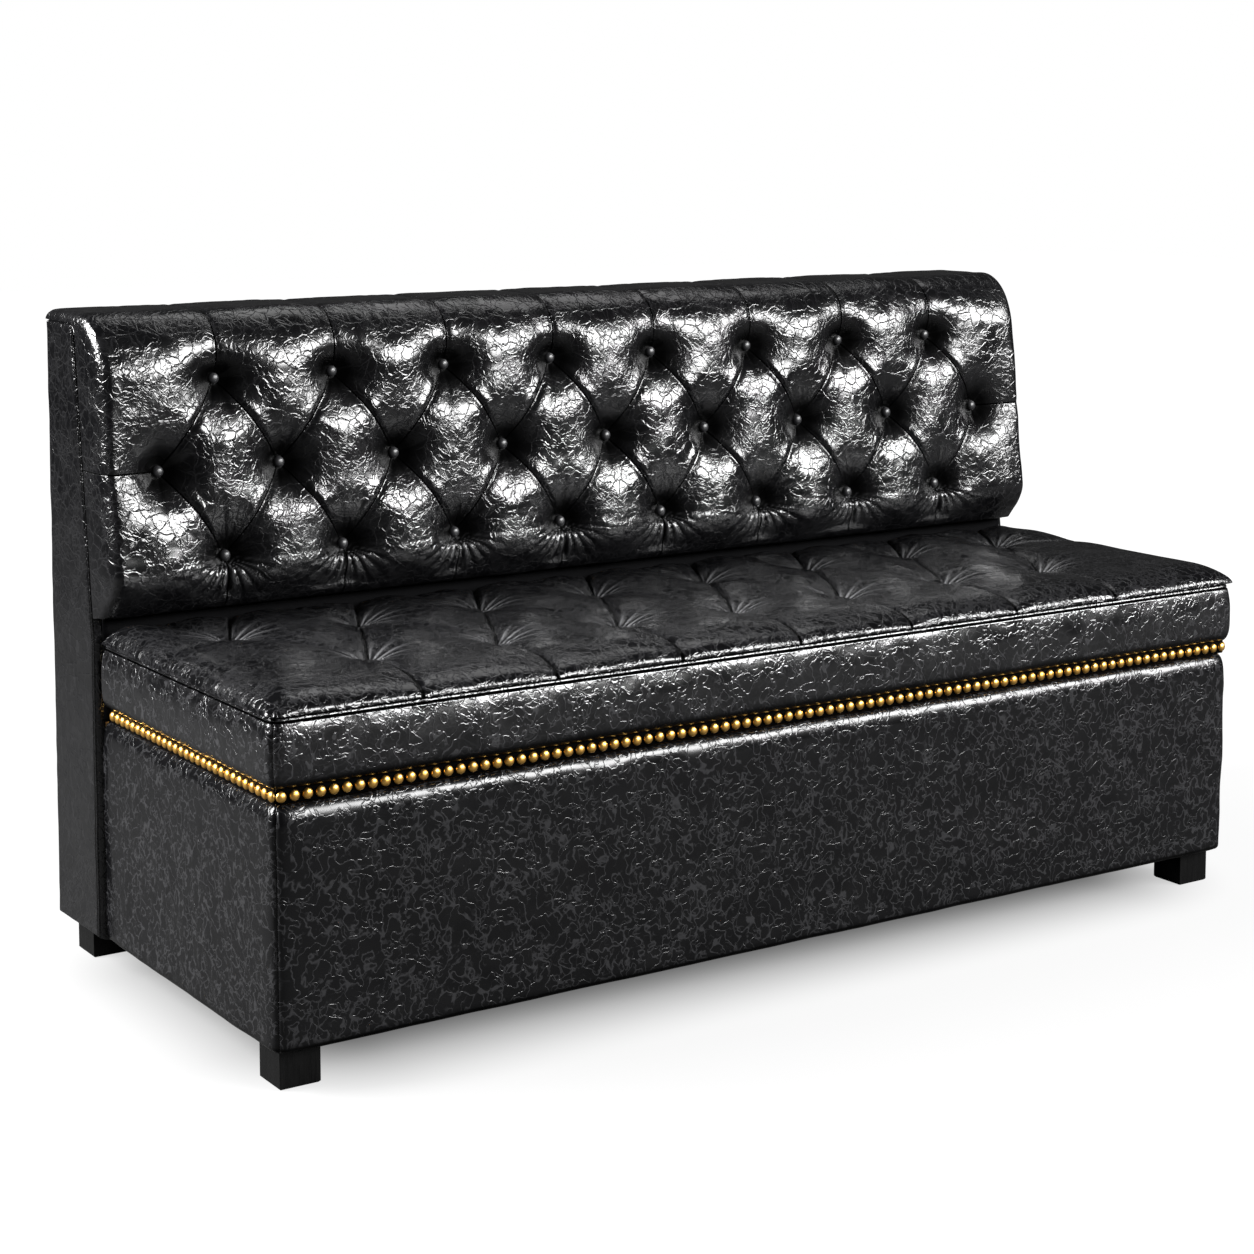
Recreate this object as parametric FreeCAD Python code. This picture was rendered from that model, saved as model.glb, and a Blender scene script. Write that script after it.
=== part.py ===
import FreeCAD, Part
import math
import os

# Armless storage bench sofa: a closed box base, a lift-up tufted seat hinged in the back,
# and a full-height back slab with a deep-buttoned front. Millimetres, +Z up, front faces -Y.
V = FreeCAD.Vector
X_AXIS = V(1, 0, 0)

# Overall sizes
base_width = 1450.0         # outside the base upholstery
base_depth = 478.0          # base front to the front plane of the back slab
back_depth = 140.0          # slab thickness up to seat height
back_top_depth = 92.0       # slab thickness at the top
back_overhang = 7.0         # slab wider than the base, each side
seat_overhang = 4.0         # seat proud of the base at front and sides
foot_height = 48.0          # floor to the underside of the upholstery
base_top = 322.0            # top edge of the base
seat_seam = 422.0           # top edge of the seat border
back_frame_top = 811.0      # top of the timber of the back

# Sheet and timber
panel = 18.0                # base panels
floor_board = 9.0
rail_thick = 22.0           # seat frame rails
rail_height = 48.0
deck_thick = 9.0
post_thick = 21.0           # posts of the back
back_board_thick = 9.0
rear_board_thick = 4.0
batten = 25.0
seat_batten = 18.0          # rail on the foot of the back board, between the hinge arms
seat_batten_height = 36.0
top_rail_height = 45.0
low_rail = 40.0             # base and bottom rails of the back
low_rail_width = 70.0
stud_width = 38.0
cleat = 20.0
dust_cloth = 2.0

# Upholstery
side_pad = 12.0             # padded covers on base, border and back sides
rear_pad = 5.5
pad_round = 9.0             # rounded edges of the padded covers
corner_round = 10.0
seat_crown = 24.0           # tufted seat layer above the border
seat_round = 16.0
back_foam_thick = 26.0
foam_round = 20.0           # upper front edge of that foam, eased under the roll
lining = 2.0                # leather that closes the back below its pad
pillow_depth = 31.0         # tufted layer in front of the foam
top_pad = 10.0              # padding over the top of the back
back_pad_foot = 450.0       # lowest edge of the tufted back
flank_round = 26.0          # rounded ends of the tufted front
flank_ahead = 1.0           # the end rounding starts this far ahead of the face, so it meets it in a crease
foot_round = 60.0           # height over which the lower edge of the front rounds in
foot_tuck = 37.0            # and how far it rounds in
foot_wrap = 14.0            # cover drawn under the foot of the foam
back_roll = 52.0            # rolled front edge of the top
roll_end = 4.0              # where the roll levels out, behind the raked front plane

# Deep buttoning
button_diameter = 16.0
button_height = 7.0
button_play = 2.0           # round a button at the foot of its dimple
button_margin = 80.0        # end buttons of the middle row in from the ends of the back
button_columns = 8          # top and bottom rows; the middle row has one more
button_row_low = 92.0       # rows measured up the raked front from the seat seam
button_row_high = 87.0      # top row down from the top
dimple_radius = 46.0
pleat_width = 8.0           # each side of the crease
pleat_depth = 7.0
pleat_overrun = 30.0        # pleats run out past the edges of the front
tool_margin = 6.0           # cutters stand this far proud of the face that they cut
tie_diameter = 2.5
tie_washer = 14.0
tie_washer_thick = 3.0
tuft_margin = 120.0         # end tufts of the rear row in from the ends of the seat
tuft_columns = 8            # rear row of the seat; the front row has one less
tuft_rear = 355.0           # rows measured back from the base front
tuft_front = 165.0
tuft_radius = 30.0
tuft_depth = 17.0
seat_pleat_width = 8.0
seat_pleat_depth = 5.0

# Nail trim
nail_diameter = 12.5
nail_rise = 4.2
nail_pitch = 15.8
nail_end = 1.0              # end nails clear of the corners
nail_shank = 2.0
nail_shank_length = 13.0
nail_band = 2.0             # leather strip that carries the nails
nail_band_height = 17.0
nail_recess = 10.0          # band set back from the border

# Feet and fastenings
foot_side = 50.0
foot_chamfer = 2.0
foot_inset_side = 15.0
foot_inset_front = 23.0
foot_inset_rear = 10.0
foot_block_side = 90.0      # plywood blocks that take the front feet
bolt_diameter = 8.0
bolt_head = 14.0
bolt_head_thick = 5.0
foot_bolt_length = 46.0
joint_bolt_length = 50.0
joint_bolt_inset = 69.0     # outer bolts in from the posts
screw_diameter = 5.0
screw_head = 9.0
screw_head_thick = 2.5
screw_length = 16.0

# Seat hinge
seat_gap = 14.0             # behind the seat
lid_gap = 2.0               # between base and seat
buffer_diameter = 14.0
pivot_behind = 62.0         # hinge axis behind the seat's rear face, hidden in the back
pivot_height = 540.0
pin_diameter = 10.0
pin_head = 18.0
pin_head_thick = 5.0
pin_clearance = 0.05        # radial, in the arm
arm_thick = 5.0
arm_width = 20.0
arm_reach = 120.0           # length screwed along the seat rail
arm_lift = 10.0             # above the seat's underside
arm_spoke = 17.0            # degrees that the spoke stands behind straight down
neck_lap = 2.0              # degrees that the neck runs into the strap
arm_tail = 28.0             # stop tail above the axis
tail_width = 20.0
eye_diameter = 34.0
plate_thick = 3.5
plate_play = 0.5            # between arm and plate
plate_corner = 4.0
stop_diameter = 8.0
stop_angle = 35.0           # opening of the seat
stop_play = 0.2
clear = 2.0                 # around the arms where they leave the seat

# Places worked out from the sizes
depth = seat_overhang + base_depth + back_depth
seat_front = -depth / 2
base_front = seat_front + seat_overhang
slab_front = base_front + base_depth
slab_rear = depth / 2
half_base = base_width / 2
half_back = half_base + back_overhang
half_seat = half_base + seat_overhang
panel_side = half_base - side_pad           # outer faces of the base panels
panel_front = base_front + side_pad
box_side = panel_side - panel               # inside of the storage box
box_front = panel_front + panel
box_rear = slab_front - panel
panel_foot = foot_height + dust_cloth
floor_top = panel_foot + cleat + floor_board
lid_foot = base_top + lid_gap
seat_rear = slab_front - seat_gap
rail_side = half_seat - side_pad            # outer faces of the seat rails
rail_front = seat_front + side_pad
rail_rear = seat_rear - nail_band
deck_foot = lid_foot + rail_height
foam_foot = deck_foot + deck_thick
border_foot = lid_foot + nail_band_height
band_side = half_seat - nail_recess
band_front = seat_front + nail_recess
post_outer = half_back - side_pad
post_inner = post_outer - post_thick
frame_rear = slab_rear - rear_pad - rear_board_thick
back_top = back_frame_top + top_pad
rake = (back_depth - back_top_depth) / (back_top - seat_seam)
rake_angle = math.degrees(math.atan(rake))
pillow_base = back_board_thick + back_foam_thick
pillow_top = pillow_base + pillow_depth
back_foam_foot = back_pad_foot + foot_wrap
button_pitch = 2 * (half_back - button_margin) / button_columns
button_row_step = (back_top - seat_seam - button_row_low - button_row_high) / 2
tuft_pitch = 2 * (half_seat - tuft_margin) / (tuft_columns - 1)
arm_outer = rail_side - rail_thick
arm_inner = arm_outer - arm_thick
pivot_y = seat_rear + pivot_behind


def block(x0, x1, y0, y1, z0, z1):
    """Box between two corners."""
    return Part.makeBox(x1 - x0, y1 - y0, z1 - z0, V(x0, y0, z0))


def rod(radius, start, direction, length):
    """Round bar from a point along a direction."""
    return Part.makeCylinder(radius, length, start, direction)


def mirrored(shape):
    """The same piece on the other side of the middle plane."""
    return shape.mirror(V(0, 0, 0), X_AXIS)


def pair(shape):
    """A left piece and its mirror image as one group."""
    return Part.makeCompound([shape, mirrored(shape)])


def prism(points, vector):
    """Straight extrusion of a closed outline."""
    return Part.Face(Part.makePolygon(points + points[:1])).extrude(vector)


def side_plate(outline, x0, x1):
    """Plate between two x positions, from an outline of (y, z) points."""
    return prism([V(x0, y, z) for y, z in outline], V(x1 - x0, 0, 0))


def edges_at(shape, test):
    """Edges whose every sampled point passes the test."""
    found = []
    for edge in shape.Edges:
        first, last = edge.ParameterRange
        ends = [edge.valueAt(first), edge.valueAt((first + last) / 2), edge.valueAt(last)]
        if all(test(point) for point in ends):
            found.append(edge)
    return found


def rounded(shape, radius, test):
    """Fillet the edges that pass the test."""
    return shape.makeFillet(radius, edges_at(shape, test))


def near(a, b):
    return abs(a - b) < 0.01


def raked(height, ahead):
    """Point (y, z) at a height, a distance ahead of the raked front plane of the back."""
    lean = math.radians(rake_angle)
    y = slab_front + rake * max(0.0, height - seat_seam)
    return y - ahead * math.cos(lean), height + ahead * math.sin(lean)


def lean_back(shape):
    """Turn a piece built on the upright slab front into the raked plane."""
    turned = shape.copy()
    turned.rotate(V(0, slab_front, seat_seam), X_AXIS, -rake_angle)
    return turned


def save(name, shape):
    shape.exportStep("parts/" + name + ".step")


# Base: plywood box on four block feet

def base_panels():
    """Front, rear and side panels of the storage box."""
    front = block(-panel_side, panel_side, panel_front, box_front, panel_foot, base_top)
    rear = block(-panel_side, panel_side, box_rear, slab_front, panel_foot, base_top)
    left = block(-panel_side, -box_side, box_front, box_rear, panel_foot, base_top)
    for x in joint_bolt_places():
        rear = rear.cut(rod(bolt_diameter / 2, V(x, box_rear, joint_bolt_height()), V(0, 1, 0), panel))
    return front, rear, left


def joint_bolt_places():
    outer = post_inner - joint_bolt_inset
    return [-outer, -outer / 3, outer / 3, outer]


def joint_bolt_height():
    return (base_top + foot_height) / 2


def foot_centres():
    """Front left and rear left foot centres."""
    x = -half_base + foot_inset_side + foot_side / 2
    front = base_front + foot_inset_front + foot_side / 2
    rear = slab_rear - foot_inset_rear - foot_side / 2
    return V(x, front, 0), V(x, rear, 0)


def foot(centre):
    """Square block foot with its lower edges eased, bored for its bolt."""
    half = foot_side / 2
    body = block(centre.x - half, centre.x + half, centre.y - half, centre.y + half, 0, foot_height)
    body = body.makeChamfer(foot_chamfer, edges_at(body, lambda p: near(p.z, 0)))
    bore = rod(bolt_diameter / 2, V(centre.x, centre.y, bolt_seat()), V(0, 0, 1), foot_height)
    return body.cut(bore)


def bolt_seat():
    return foot_height + dust_cloth + cleat - foot_bolt_length


def foot_bolt(centre):
    """Hanger bolt that joins a foot to the timber above it."""
    return rod(bolt_diameter / 2, V(centre.x, centre.y, bolt_seat()), V(0, 0, 1), foot_bolt_length)


def bored_for_feet(shape):
    """Clear the hanger bolts out of a piece."""
    for centre in foot_centres():
        bolt = foot_bolt(centre)
        shape = shape.cut(bolt).cut(mirrored(bolt))
    return shape


def foot_blocks():
    """Plywood plates in the front corners that take the front feet."""
    left = block(-box_side, -box_side + foot_block_side, box_front, box_front + foot_block_side,
                 panel_foot, panel_foot + cleat)
    return pair(bored_for_feet(left))


def floor_cleats():
    """Battens round the box that carry the floor, between the foot plates."""
    top = panel_foot + cleat
    span = box_side - foot_block_side
    front = block(-span, span, box_front, box_front + cleat, panel_foot, top)
    rear = block(-box_side, box_side, box_rear - cleat, box_rear, panel_foot, top)
    left = block(-box_side, -box_side + cleat, box_front + foot_block_side, box_rear - cleat, panel_foot, top)
    return Part.makeCompound([front, rear, left, mirrored(left)])


def corner_battens():
    """Upright battens glued into the four inside corners of the box."""
    front = block(-box_side, -box_side + batten, box_front, box_front + batten, floor_top, base_top)
    rear = block(-box_side, -box_side + batten, box_rear - batten, box_rear, floor_top, base_top)
    return Part.makeCompound([front, rear, mirrored(front), mirrored(rear)])


def base_covers():
    """Padded front and left covers with rounded upper edges and front corners."""
    front = block(-half_base, half_base, base_front, panel_front, foot_height, base_top)
    front = rounded(front, corner_round, lambda p: near(abs(p.x), half_base) and near(p.y, base_front))
    front = rounded(front, pad_round, lambda p: near(p.z, base_top) and p.y < panel_front - 1)
    left = block(-half_base, -panel_side, panel_front, slab_front, foot_height, base_top)
    left = rounded(left, pad_round, lambda p: near(p.z, base_top) and near(p.x, -half_base))
    return front, left


def dust_cover():
    """Cloth stapled under the box and the back."""
    sheet = block(-panel_side, panel_side, panel_front, frame_rear, foot_height, panel_foot)
    return bored_for_feet(sheet)


def divider():
    """Panel across the middle of the box that props the floor of the seat."""
    half = panel / 2
    return block(-half, half, box_front, box_rear, floor_top, base_top - lid_gap)


def buffers():
    """Felt buttons on the panel edges that the seat comes down on."""
    x = (panel_side + box_side) / 2
    y = (panel_front + box_front) / 2
    pads = []
    for place in (-x / 2, 0, x / 2):
        pads.append(rod(buffer_diameter / 2, V(place, y, base_top), V(0, 0, 1), lid_gap))
    for place in (base_front + tuft_front, base_front + tuft_rear):
        side = rod(buffer_diameter / 2, V(-x, place, base_top), V(0, 0, 1), lid_gap)
        pads += [side, mirrored(side)]
    return Part.makeCompound(pads)


# Back: timber frame, boards, foam and the deep-buttoned cover

def post():
    """Left post, cut to the side outline of the slab."""
    outline = [(slab_front, panel_foot), (slab_front, seat_seam), raked(back_frame_top, 0),
               (frame_rear, back_frame_top), (frame_rear, panel_foot)]
    body = side_plate(outline, -post_outer, -post_inner)
    start = -post_outer + pin_inset()
    stop_y, stop_z = stop_place()
    body = body.cut(rod(pin_diameter / 2, V(start, pivot_y, pivot_height), X_AXIS, post_thick))
    return body.cut(rod(stop_diameter / 2, V(start, stop_y, stop_z), X_AXIS, post_thick))


def pin_inset():
    """Timber left outside the hinge pins."""
    return post_thick / 3


def back_rails():
    """Top, base and bottom rails between the posts, and the seat rail behind the board."""
    inner = post_inner
    top_front = raked(back_frame_top, 0)[0]
    top = block(-inner, inner, top_front, frame_rear, back_frame_top - top_rail_height,
                back_frame_top)
    low = back_pad_foot + clear
    seat_y = raked(low + seat_batten_height, 0)[0]
    between = arm_inner - clear
    seat = block(-between, between, seat_y, seat_y + seat_batten, low, low + seat_batten_height)
    half = low_rail_width / 2
    base = block(-inner, inner, slab_front, slab_front + low_rail, joint_bolt_height() - half,
                 joint_bolt_height() + half)
    for x in joint_bolt_places():
        base = base.cut(rod(bolt_diameter / 2, V(x, slab_front, joint_bolt_height()), V(0, 1, 0), low_rail))
    bottom = bored_for_feet(block(-inner, inner, frame_rear - low_rail_width, frame_rear, panel_foot,
                                  panel_foot + low_rail))
    return top, seat, base, bottom


def studs():
    """Two uprights behind the board that stiffen the rear."""
    x = button_pitch * 1.75
    half = stud_width / 2
    stud = block(-x - half, -x + half, frame_rear - stud_width, frame_rear, panel_foot + low_rail,
                 back_frame_top - top_rail_height)
    return pair(stud)


def joint_bolts():
    """Bolts that hold the back to the box."""
    bolts = []
    for x in joint_bolt_places():
        start = V(x, box_rear - bolt_head_thick, joint_bolt_height())
        head = rod(bolt_head / 2, start, V(0, 1, 0), bolt_head_thick)
        bolts.append(head.fuse(rod(bolt_diameter / 2, start, V(0, 1, 0), joint_bolt_length)))
    return Part.makeCompound(bolts)


def button_places():
    """(x, height up the rake) of every button, row by row in a diamond pattern."""
    places = []
    for row in range(3):
        count = button_columns + (row % 2)
        for column in range(count):
            x = (column - (count - 1) / 2) * button_pitch
            places.append((x, button_row_low + row * button_row_step))
    return places


def on_slab(x, height, ahead):
    """Point on the upright slab front, before it is leant back."""
    return V(x, slab_front - ahead, seat_seam + height)


def raked_layer(start, thick, foot):
    """Flat raked layer across the back, from its foot to the frame top."""
    lean = math.cos(math.radians(rake_angle))
    high = raked(back_frame_top, 0)[0]
    outline = [raked(foot, start), raked(foot, start + thick),
               (high - (start + thick) / lean, back_frame_top), (high - start / lean, back_frame_top)]
    return side_plate(outline, -post_outer, post_outer)


def foam_layer():
    """Foam of the back, with its upper front edge eased under the roll of the cover."""
    layer = raked_layer(back_board_thick, back_foam_thick, back_foam_foot)
    front = raked(back_frame_top, 0)[0] - pillow_base / math.cos(math.radians(rake_angle))
    return rounded(layer, foam_round, lambda p: near(p.z, back_frame_top) and near(p.y, front))


def tied(layer, start, thick):
    """Board or foam of the back pierced for the button ties."""
    holes = [lean_back(rod(tie_diameter / 2, on_slab(x, s, start + thick + 1), V(0, 1, 0), thick + 2))
             for x, s in button_places()]
    return layer.cut(holes)


def tie(x, s):
    """Button twine through foam and board with its washer behind the board."""
    twine = rod(tie_diameter / 2, on_slab(x, s, pillow_base), V(0, 1, 0), pillow_base + tie_washer_thick)
    washer = rod(tie_washer / 2, on_slab(x, s, 0), V(0, 1, 0), tie_washer_thick)
    return twine.fuse(washer)


def button(x, s):
    """Covered button: a spherical dome on a short flat back."""
    radius = button_diameter / 2
    flat = button_height / 4
    rise = button_height - flat
    sphere = (radius * radius + rise * rise) / (2 * rise)
    profile = Part.Wire([
        Part.makeLine(V(0, 0, 0), V(radius, 0, 0)),
        Part.makeLine(V(radius, 0, 0), V(radius, -flat, 0)),
        Part.Arc(V(radius, -flat, 0),
                 V(radius / 2, sphere - button_height - math.sqrt(sphere ** 2 - radius ** 2 / 4), 0),
                 V(0, -button_height, 0)).toShape(),
        Part.makeLine(V(0, -button_height, 0), V(0, 0, 0))])
    dome = Part.Face(profile).revolve(V(0, 0, 0), V(0, 1, 0), 360)
    dome.translate(on_slab(x, s, pillow_base))
    return dome


def pleat(start, end):
    """V-groove tool across the tufted front between two (x, height) places."""
    reach = pillow_top + tool_margin
    slope = pleat_width / pleat_depth
    half = slope * (reach - pillow_top + pleat_depth)
    along = V(end[0] - start[0], 0, end[1] - start[1])
    across = V(-along.z, 0, along.x).normalize() * half
    mouth = on_slab(start[0], start[1], reach)
    bottom = on_slab(start[0], start[1], pillow_top - pleat_depth)
    return prism([mouth + across, mouth - across, bottom], along)


def dimple(x, s):
    """Cone that sinks the cover at a button, down to the foam."""
    reach = pillow_depth + tool_margin
    seat = button_diameter / 2 + button_play
    wide = seat + (dimple_radius - seat) * reach / pillow_depth
    return Part.makeCone(seat, wide, reach, on_slab(x, s, pillow_base), V(0, -1, 0))


def pleats():
    """Diamond pleats between buttons, with straight ones up, down and out at the edges."""
    places = button_places()
    low = back_pad_foot - seat_seam - 2 * pleat_overrun
    high = back_top - seat_seam - back_roll + pleat_overrun
    tools = []
    for x, s in places:
        for x2, s2 in places:
            if near(s2 - s, button_row_step) and near(abs(x2 - x), button_pitch / 2):
                tools.append(pleat((x, s), (x2, s2)))
        if near(s, button_row_low):
            tools.append(pleat((x, s), (x, low)))
        elif near(s, button_row_low + 2 * button_row_step):
            tools.append(pleat((x, s), (x, high)))
    end = max(x for x, s in places)
    middle = button_row_low + button_row_step
    tools.append(pleat((end, middle), (half_back, middle)))
    tools.append(pleat((-end, middle), (-half_back, middle)))
    return tools


def tufted_back():
    """Pillowed layer of the back: it rolls over the top to the rear seam and is drawn in at every button."""
    foot_in = raked(back_pad_foot, 0)
    foot_out = raked(back_pad_foot, pillow_top - foot_tuck)
    foot_mid = raked(back_pad_foot + foot_round * 0.3, pillow_top - foot_tuck * 0.3)
    face_low = raked(back_pad_foot + foot_round, pillow_top)
    face_high = raked(back_top - back_roll, pillow_top)
    roll_mid = raked(back_top - back_roll * 0.28, pillow_top - back_roll * 0.29)
    crown = (raked(back_top, 0)[0] + roll_end, back_top)
    rear_round = top_pad * 0.9
    inner_top = raked(back_frame_top, 0)

    def at(place):
        return V(-half_back, place[0], place[1])

    wire = Part.Wire([
        Part.makeLine(at(foot_in), at(foot_out)),
        Part.Arc(at(foot_out), at(foot_mid), at(face_low)).toShape(),
        Part.makeLine(at(face_low), at(face_high)),
        Part.Arc(at(face_high), at(roll_mid), at(crown)).toShape(),
        Part.makeLine(at(crown), at((slab_rear - rear_round, back_top))),
        Part.Arc(at((slab_rear - rear_round, back_top)),
                 at((slab_rear - rear_round * 0.293, back_top - rear_round * 0.293)),
                 at((slab_rear, back_top - rear_round))).toShape(),
        Part.makeLine(at((slab_rear, back_top - rear_round)), at((slab_rear, back_frame_top))),
        Part.makeLine(at((slab_rear, back_frame_top)), at(inner_top)),
        Part.makeLine(at(inner_top), at(foot_in))])
    body = Part.Face(wire).extrude(V(2 * half_back, 0, 0))
    front = slab_front - pillow_top - flank_ahead
    plan = block(-half_back, half_back, front, slab_rear + back_depth, 0, 2 * back_top)
    plan = rounded(plan, flank_round, lambda p: near(abs(p.x), half_back) and near(p.y, front))
    body = body.common(lean_back(plan)).cut([raked_layer(0, back_board_thick, back_pad_foot),
                                             foam_layer()])
    tools = [lean_back(dimple(x, s)) for x, s in button_places()] + [lean_back(tool) for tool in pleats()]
    return body.cut(tools)


def back_side():
    """Padded left side of the slab, with its outer edges rounded."""
    outline = [(slab_front, foot_height), (slab_front, seat_seam), raked(back_frame_top, 0),
               (slab_rear, back_frame_top), (slab_rear, foot_height)]
    cover = side_plate(outline, -half_back, -post_outer)
    return rounded(cover, pad_round / 2, lambda p: near(p.x, -half_back))


def back_lining():
    """Leather below the tufted pad from post to post, slotted for the hinge arms as they swing forward."""
    lean = math.radians(stop_angle - arm_spoke)
    drop = (pivot_y - slab_front - arm_width / 2 / math.cos(lean)) / math.tan(lean)
    front = slab_front - lining
    sheet = block(-post_outer, post_outer, front, slab_front, base_top, back_pad_foot)
    slot = block(-post_inner, -arm_inner + clear, front, slab_front, base_top, pivot_height - drop + clear)
    return sheet.cut([slot, mirrored(slot)])


def rear_boards():
    """Hardboard back and the padded cover over it."""
    y = frame_rear + rear_board_thick
    board = block(-post_outer, post_outer, frame_rear, y, panel_foot, back_frame_top)
    cover = block(-post_outer, post_outer, y, slab_rear, foot_height, back_frame_top)
    return board, cover


# Seat: frame, deck, foam and covers, lifting on two cranked arms

def seat_rails():
    """Front, rear, left and cross rails of the seat frame."""
    inner = arm_outer
    top = deck_foot
    front = block(-rail_side, rail_side, rail_front, rail_front + rail_thick, lid_foot, top)
    rear = block(-arm_inner + clear, arm_inner - clear, rail_rear - rail_thick, rail_rear, lid_foot, top)
    left = block(-rail_side, -inner, rail_front + rail_thick, rail_rear, lid_foot, top)
    cross = []
    for x in (tuft_pitch * 0.75, tuft_pitch * 2.25):
        bar = block(x - rail_thick / 2, x + rail_thick / 2, rail_front + rail_thick, rail_rear - rail_thick,
                    lid_foot, top)
        cross += [bar, mirrored(bar)]
    return front, rear, left, Part.makeCompound(cross)


def tuft_places():
    """Blind tufts of the seat: a rear row and a front row between its columns."""
    places = []
    for count, y in ((tuft_columns, tuft_rear), (tuft_columns - 1, tuft_front)):
        for column in range(count):
            places.append(((column - (count - 1) / 2) * tuft_pitch, base_front + y))
    return places


def pierced(shape):
    """Holes for the seat's tuft ties."""
    return shape.cut([rod(tie_diameter / 2, V(x, y, deck_foot - 1), V(0, 0, 1), seat_seam - deck_foot + 2)
                      for x, y in tuft_places()])


def deck():
    """Plywood deck over the seat frame."""
    return pierced(block(-rail_side, rail_side, rail_front, rail_rear, deck_foot, foam_foot))


def seat_foam():
    """Foam block between deck and tufted cover."""
    return pierced(block(-rail_side, rail_side, rail_front, rail_rear, foam_foot, seat_seam))


def tuft_tie(x, y):
    """Tuft twine from the cover to its washer under the deck."""
    foot = deck_foot - tie_washer_thick
    twine = rod(tie_diameter / 2, V(x, y, foot), V(0, 0, 1), seat_seam - foot)
    washer = rod(tie_washer / 2, V(x, y, foot), V(0, 0, 1), tie_washer_thick)
    return twine.fuse(washer)


def seat_pleat(start, end):
    """V-groove tool across the seat top between two (x, y) places."""
    top = seat_seam + seat_crown
    reach = top + tool_margin
    half = seat_pleat_width / seat_pleat_depth * (reach - top + seat_pleat_depth)
    along = V(end[0] - start[0], end[1] - start[1], 0)
    across = V(-along.y, along.x, 0).normalize() * half
    mouth = V(start[0], start[1], reach)
    bottom = V(start[0], start[1], top - seat_pleat_depth)
    return prism([mouth + across, mouth - across, bottom], along)


def seat_pleats():
    """Zigzag pleats between the rows, straight ones back from the rear row and forward from the front row."""
    places = tuft_places()
    rear_y = base_front + tuft_rear
    tools = []
    for x, y in places:
        if near(y, rear_y):
            tools.append(seat_pleat((x, y), (x, seat_rear + tool_margin)))
            for x2, y2 in places:
                if not near(y2, rear_y) and near(abs(x2 - x), tuft_pitch / 2):
                    tools.append(seat_pleat((x, y), (x2, y2)))
        else:
            tools.append(seat_pleat((x, y), (x, seat_front - tool_margin)))
    return tools


def tufted_seat():
    """Pillowed top of the seat, rounded over its edges and drawn in at every tuft."""
    top = seat_seam + seat_crown
    body = block(-half_seat, half_seat, seat_front, seat_rear, seat_seam, top)
    upright = lambda p: near(abs(p.x), half_seat) and near(p.y, seat_front)
    body = rounded(body, corner_round, upright)
    body = rounded(body, seat_round, lambda p: near(p.z, top))
    cones = []
    for x, y in tuft_places():
        reach = tuft_depth + tool_margin
        wide = tie_washer / 2 + (tuft_radius - tie_washer / 2) * reach / tuft_depth
        cones.append(Part.makeCone(tie_washer / 2, wide, reach, V(x, y, top - tuft_depth), V(0, 0, 1)))
    body = body.cut(cones + seat_pleats())
    return body.cut([rod(tie_diameter / 2, V(x, y, seat_seam - 1), V(0, 0, 1), seat_crown)
                     for x, y in tuft_places()])


def seat_borders():
    """Padded front and left borders that turn in under themselves to the nails, and the plain rear cover."""
    front = block(-half_seat, half_seat, seat_front, rail_front, border_foot, seat_seam)
    front = rounded(front, corner_round, lambda p: near(abs(p.x), half_seat) and near(p.y, seat_front))
    front = rounded(front, pad_round, lambda p: near(p.z, border_foot) and p.y < rail_front - 1)
    left = block(-half_seat, -rail_side, rail_front, seat_rear, border_foot, seat_seam)
    left = rounded(left, pad_round, lambda p: near(p.z, border_foot) and near(p.x, -half_seat))
    rear = block(-arm_inner + clear, arm_inner - clear, rail_rear, seat_rear, lid_foot, seat_seam)
    return front, left, rear


def nail_bands():
    """Leather strips round the seat frame under the border."""
    front = block(-band_side, band_side, band_front, rail_front, lid_foot, border_foot)
    left = block(-band_side, -rail_side, rail_front, rail_rear, lid_foot, border_foot)
    return front, left


def nail(place, outward):
    """Domed brass nail with a square shank."""
    radius = nail_diameter / 2
    sphere = (radius * radius + nail_rise * nail_rise) / (2 * nail_rise)
    ball = Part.makeSphere(sphere, V(0, 0, nail_rise - sphere))
    half = nail_shank / 2
    head = ball.common(block(-sphere, sphere, -sphere, sphere, 0, sphere))
    head = head.fuse(block(-half, half, -half, half, -nail_shank_length, 0)).removeSplitter()
    turn = FreeCAD.Rotation(V(0, 0, 1), outward)
    head.Placement = FreeCAD.Placement(place, turn)
    return head


def nails():
    """Evenly spaced nails along the front and both sides."""
    height = lid_foot + nail_band_height / 2
    inset = nail_diameter / 2 + nail_end
    span = 2 * (band_side - inset)
    count = round(span / nail_pitch)
    group = []
    for i in range(count + 1):
        group.append(nail(V(-span / 2 + span * i / count, band_front, height), V(0, -1, 0)))
    start = band_front + inset
    run = rail_rear - inset - start
    count = round(run / nail_pitch)
    for i in range(count + 1):
        place = V(-band_side, start + run * i / count, height)
        group.append(nail(place, V(-1, 0, 0)))
        group.append(nail(V(-place.x, place.y, place.z), V(1, 0, 0)))
    return Part.makeCompound(group)


# Hinges: a cranked arm on each seat rail turns on a pin in the back post

def stop_place():
    """(y, z) of the stop pin that the arm's tail meets when the seat is fully open."""
    turn = math.radians(stop_angle)
    along = arm_tail * 0.75
    aside = tail_width / 2 + stop_diameter / 2 + stop_play
    y = pivot_y + along * math.sin(turn) + aside * math.cos(turn)
    z = pivot_height + along * math.cos(turn) - aside * math.sin(turn)
    return y, z


def swing(radius, angle):
    """Point (y, z) round the hinge axis, the angle in degrees forward from straight down."""
    turn = math.radians(angle)
    return pivot_y - radius * math.sin(turn), pivot_height - radius * math.cos(turn)


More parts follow.
